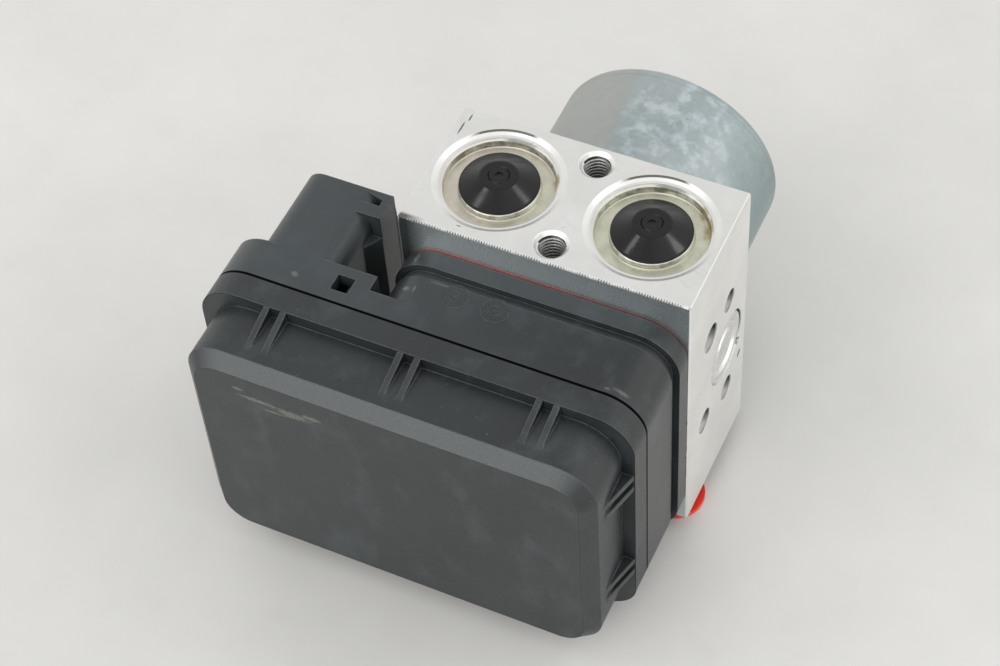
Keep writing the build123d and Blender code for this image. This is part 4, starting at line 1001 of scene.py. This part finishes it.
tip = arrow(dial_tree, X=times(dial_tree, takes["Radius"], pointer_share))
pointer = shape(dial_tree, "CurvePrimitiveLine", {"Start": foot, "End": tip})
pointer = shape(
    dial_tree, "CurveToMesh", {"Curve": pointer, "Profile Curve": wire, "Fill Caps": True}
)
dial_tree.links.new(pointer, dial.inputs[0])
radius = times(dial_tree, takes["Radius"], tick_share)
tick_ring = shape(dial_tree, "MeshCircle", {"Vertices": takes["Ticks"], "Radius": radius})
tick = shape(dial_tree, "MeshCube", {"Size": tick_size})
outward = put(dial_tree, "GeometryNodeInputPosition").outputs[0]
outward = put(dial_tree, "FunctionNodeAlignRotationToVector", {"Vector": outward}, axis="Y")
ticks = shape(
    dial_tree,
    "InstanceOnPoints",
    {"Points": tick_ring, "Instance": tick, "Rotation": outward.outputs[0]},
)
dial_tree.links.new(ticks, dial.inputs[0])
middles = shape(
    dial_tree, "MeshLine", {"Count": 2, "Start Location": first_dial, "Offset": to_next_dial}
)
both = shape(dial_tree, "InstanceOnPoints", {"Points": middles, "Instance": dial.outputs[0]})
close_tree(dial_tree, both, housing_plastic, result)
grow(
    "mould_date_marks",
    dial_tree,
    housing_plastic,
    "housing_plastic",
    Radius=0.0039,
    Wire=0.00014,
    Ticks=12,
)

# ragged flash that the mould has left down the free edge of the collar beside the shroud
flash_tree, takes, result = new_tree(
    "ragged_flash",
    Corner="Vector",
    Width="Float",
    Thickness="Float",
    Length="Float",
    Ragged="Float",
)
sides = arrow(flash_tree, X=takes["Thickness"], Y=takes["Width"], Z=takes["Length"])
strip = shape(
    flash_tree, "MeshCube", {"Size": sides, "Vertices X": 2, "Vertices Y": 2, "Vertices Z": 110}
)
at = split(flash_tree, put(flash_tree, "GeometryNodeInputPosition").outputs[0])
free_edge = math_of(flash_tree, "GREATER_THAN", at["Y"], 0.0)
torn = noise(flash_tree, arrow(flash_tree, Z=at["Z"]), 260.0, 4.0, 0.7)
torn = times(flash_tree, math_of(flash_tree, "SUBTRACT", torn, 0.6), takes["Ragged"])
# it narrows to a fifth of its width towards its upper end
upper_end = times(flash_tree, takes["Length"], 0.5)
narrowing_from = times(flash_tree, takes["Length"], 0.2)
narrowed = times(flash_tree, takes["Width"], -0.8)
narrowed = spread(flash_tree, at["Z"], narrowing_from, upper_end, 0.0, narrowed)
moved = times(flash_tree, math_of(flash_tree, "ADD", torn, narrowed), free_edge)
strip = shape(
    flash_tree, "SetPosition", {"Geometry": strip, "Offset": arrow(flash_tree, Y=moved)}
)
strip = shape(flash_tree, "Transform", {"Geometry": strip, "Translation": takes["Corner"]})
close_tree(flash_tree, strip, housing_plastic, result)
collar_corner = Vector((-0.05120, -0.00800, -0.01060))
flash_width = 0.0024
flash_length = 0.050
flash_thickness = 0.0003
flash_rooted = 0.0004
flash_below_top = 0.0030
flash_middle = collar_corner + Vector(
    (
        -flash_thickness / 2,
        flash_width / 2 - flash_rooted,
        -flash_length / 2 - flash_below_top,
    )
)
grow(
    "collar_flash",
    flash_tree,
    housing_plastic,
    "housing_plastic",
    Corner=flash_middle,
    Width=flash_width,
    Thickness=flash_thickness,
    Length=flash_length,
    Ragged=0.0030,
)

# ---------------------------------------------------------------- port dust plugs
# Soft red plastic plugs pushed by hand into the six pipe ports below, to keep dirt out until
# the pipes are fitted.
dust_plug_plastic = smooth_moulding(
    "dust_plug_plastic", (0.85, 0.045, 0.025), 0.38, fineness=1200.0, depth=0.00002, dust=0.05
)
dress(dust_plug_plastic, "port_dust_plugs")

# ---------------------------------------------------------------- table and light
# The unit lies on a plain pale table with faint marks, in a pale room. A window low in front
# on the left and a pale wall on the right brighten it, and two small lamps hang above.
table_half = 4
under_unit = 0.0003
floor_mesh = bpy.data.meshes.new("floor")
corners = [(x * table_half, y * table_half, 0) for x, y in ((-1, -1), (1, -1), (1, 1), (-1, 1))]
floor_mesh.from_pydata(corners, [], [(0, 1, 2, 3)])
floor = bpy.data.objects.new("floor", floor_mesh)
floor.location = (0, 0, cad_box[0].z - under_unit)
scene.collection.objects.link(floor)
floor_look, tree, shader = new_finish("floor", 0.55)
base = two_tone(tree, mottled(tree, 9.0), (0.675, 0.668, 0.648), (0.735, 0.727, 0.708))
faint_marks = spread(tree, mottled(tree, 60.0), 0.55, 0.75, 0, 0.25)
feed(tree, shader, blend(tree, faint_marks, base, (0.64, 0.625, 0.60)))
floor_mesh.materials.append(floor_look)

world = bpy.data.worlds.new("surroundings")
scene.world = world
world.use_nodes = True
tree = world.node_tree
direction = put(tree, "ShaderNodeTexCoord").outputs["Generated"]
ramp = put(tree, "ShaderNodeValToRGB", {0: split(tree, direction)["Z"]})
horizon, ceiling = ramp.color_ramp.elements
horizon.position = 0.0
horizon.color = (1.0, 0.995, 0.985, 1)
ceiling.position = 0.75
ceiling.color = (0.74, 0.74, 0.735, 1)
ramp.color_ramp.elements.new(0.3).color = (0.87, 0.87, 0.86, 1)


def glow_from(tree, direction, way, start, full, strength):
    """Extra light from round one way of the room; start and full are cosines of the angle to it."""
    way = tuple(Vector(way).normalized())
    towards = vector_of(tree, "DOT_PRODUCT", direction, way)["Value"]
    return spread(tree, towards, start, full, 0.0, strength)


window = glow_from(tree, direction, (-0.29, -0.79, 0.54), 0.84, 0.97, 2.1)
wall = glow_from(tree, direction, (0.86, -0.12, 0.34), 0.45, 0.95, 0.62)
strength = math_of(tree, "ADD", math_of(tree, "ADD", window, wall), 1.0)
sky = tree.nodes["Background"]
tree.links.new(ramp.outputs[0], sky.inputs["Color"])
tree.links.new(strength, sky.inputs["Strength"])

lamp_side = 0.3
lamp_power = 0.9
lamp_target = Vector((0, 0, -0.05))
for name, place in (("left_lamp", (-0.81, -0.48, 1.17)), ("right_lamp", (0.84, 0.43, 1.17))):
    light = bpy.data.lights.new(name, "AREA")
    light.shape = "SQUARE"
    light.size = lamp_side
    light.energy = lamp_power
    lamp = bpy.data.objects.new(name, light)
    lamp.location = place
    lamp.rotation_mode = "QUATERNION"
    lamp.rotation_quaternion = (lamp_target - Vector(place)).to_track_quat("-Z", "Y")
    scene.collection.objects.link(lamp)
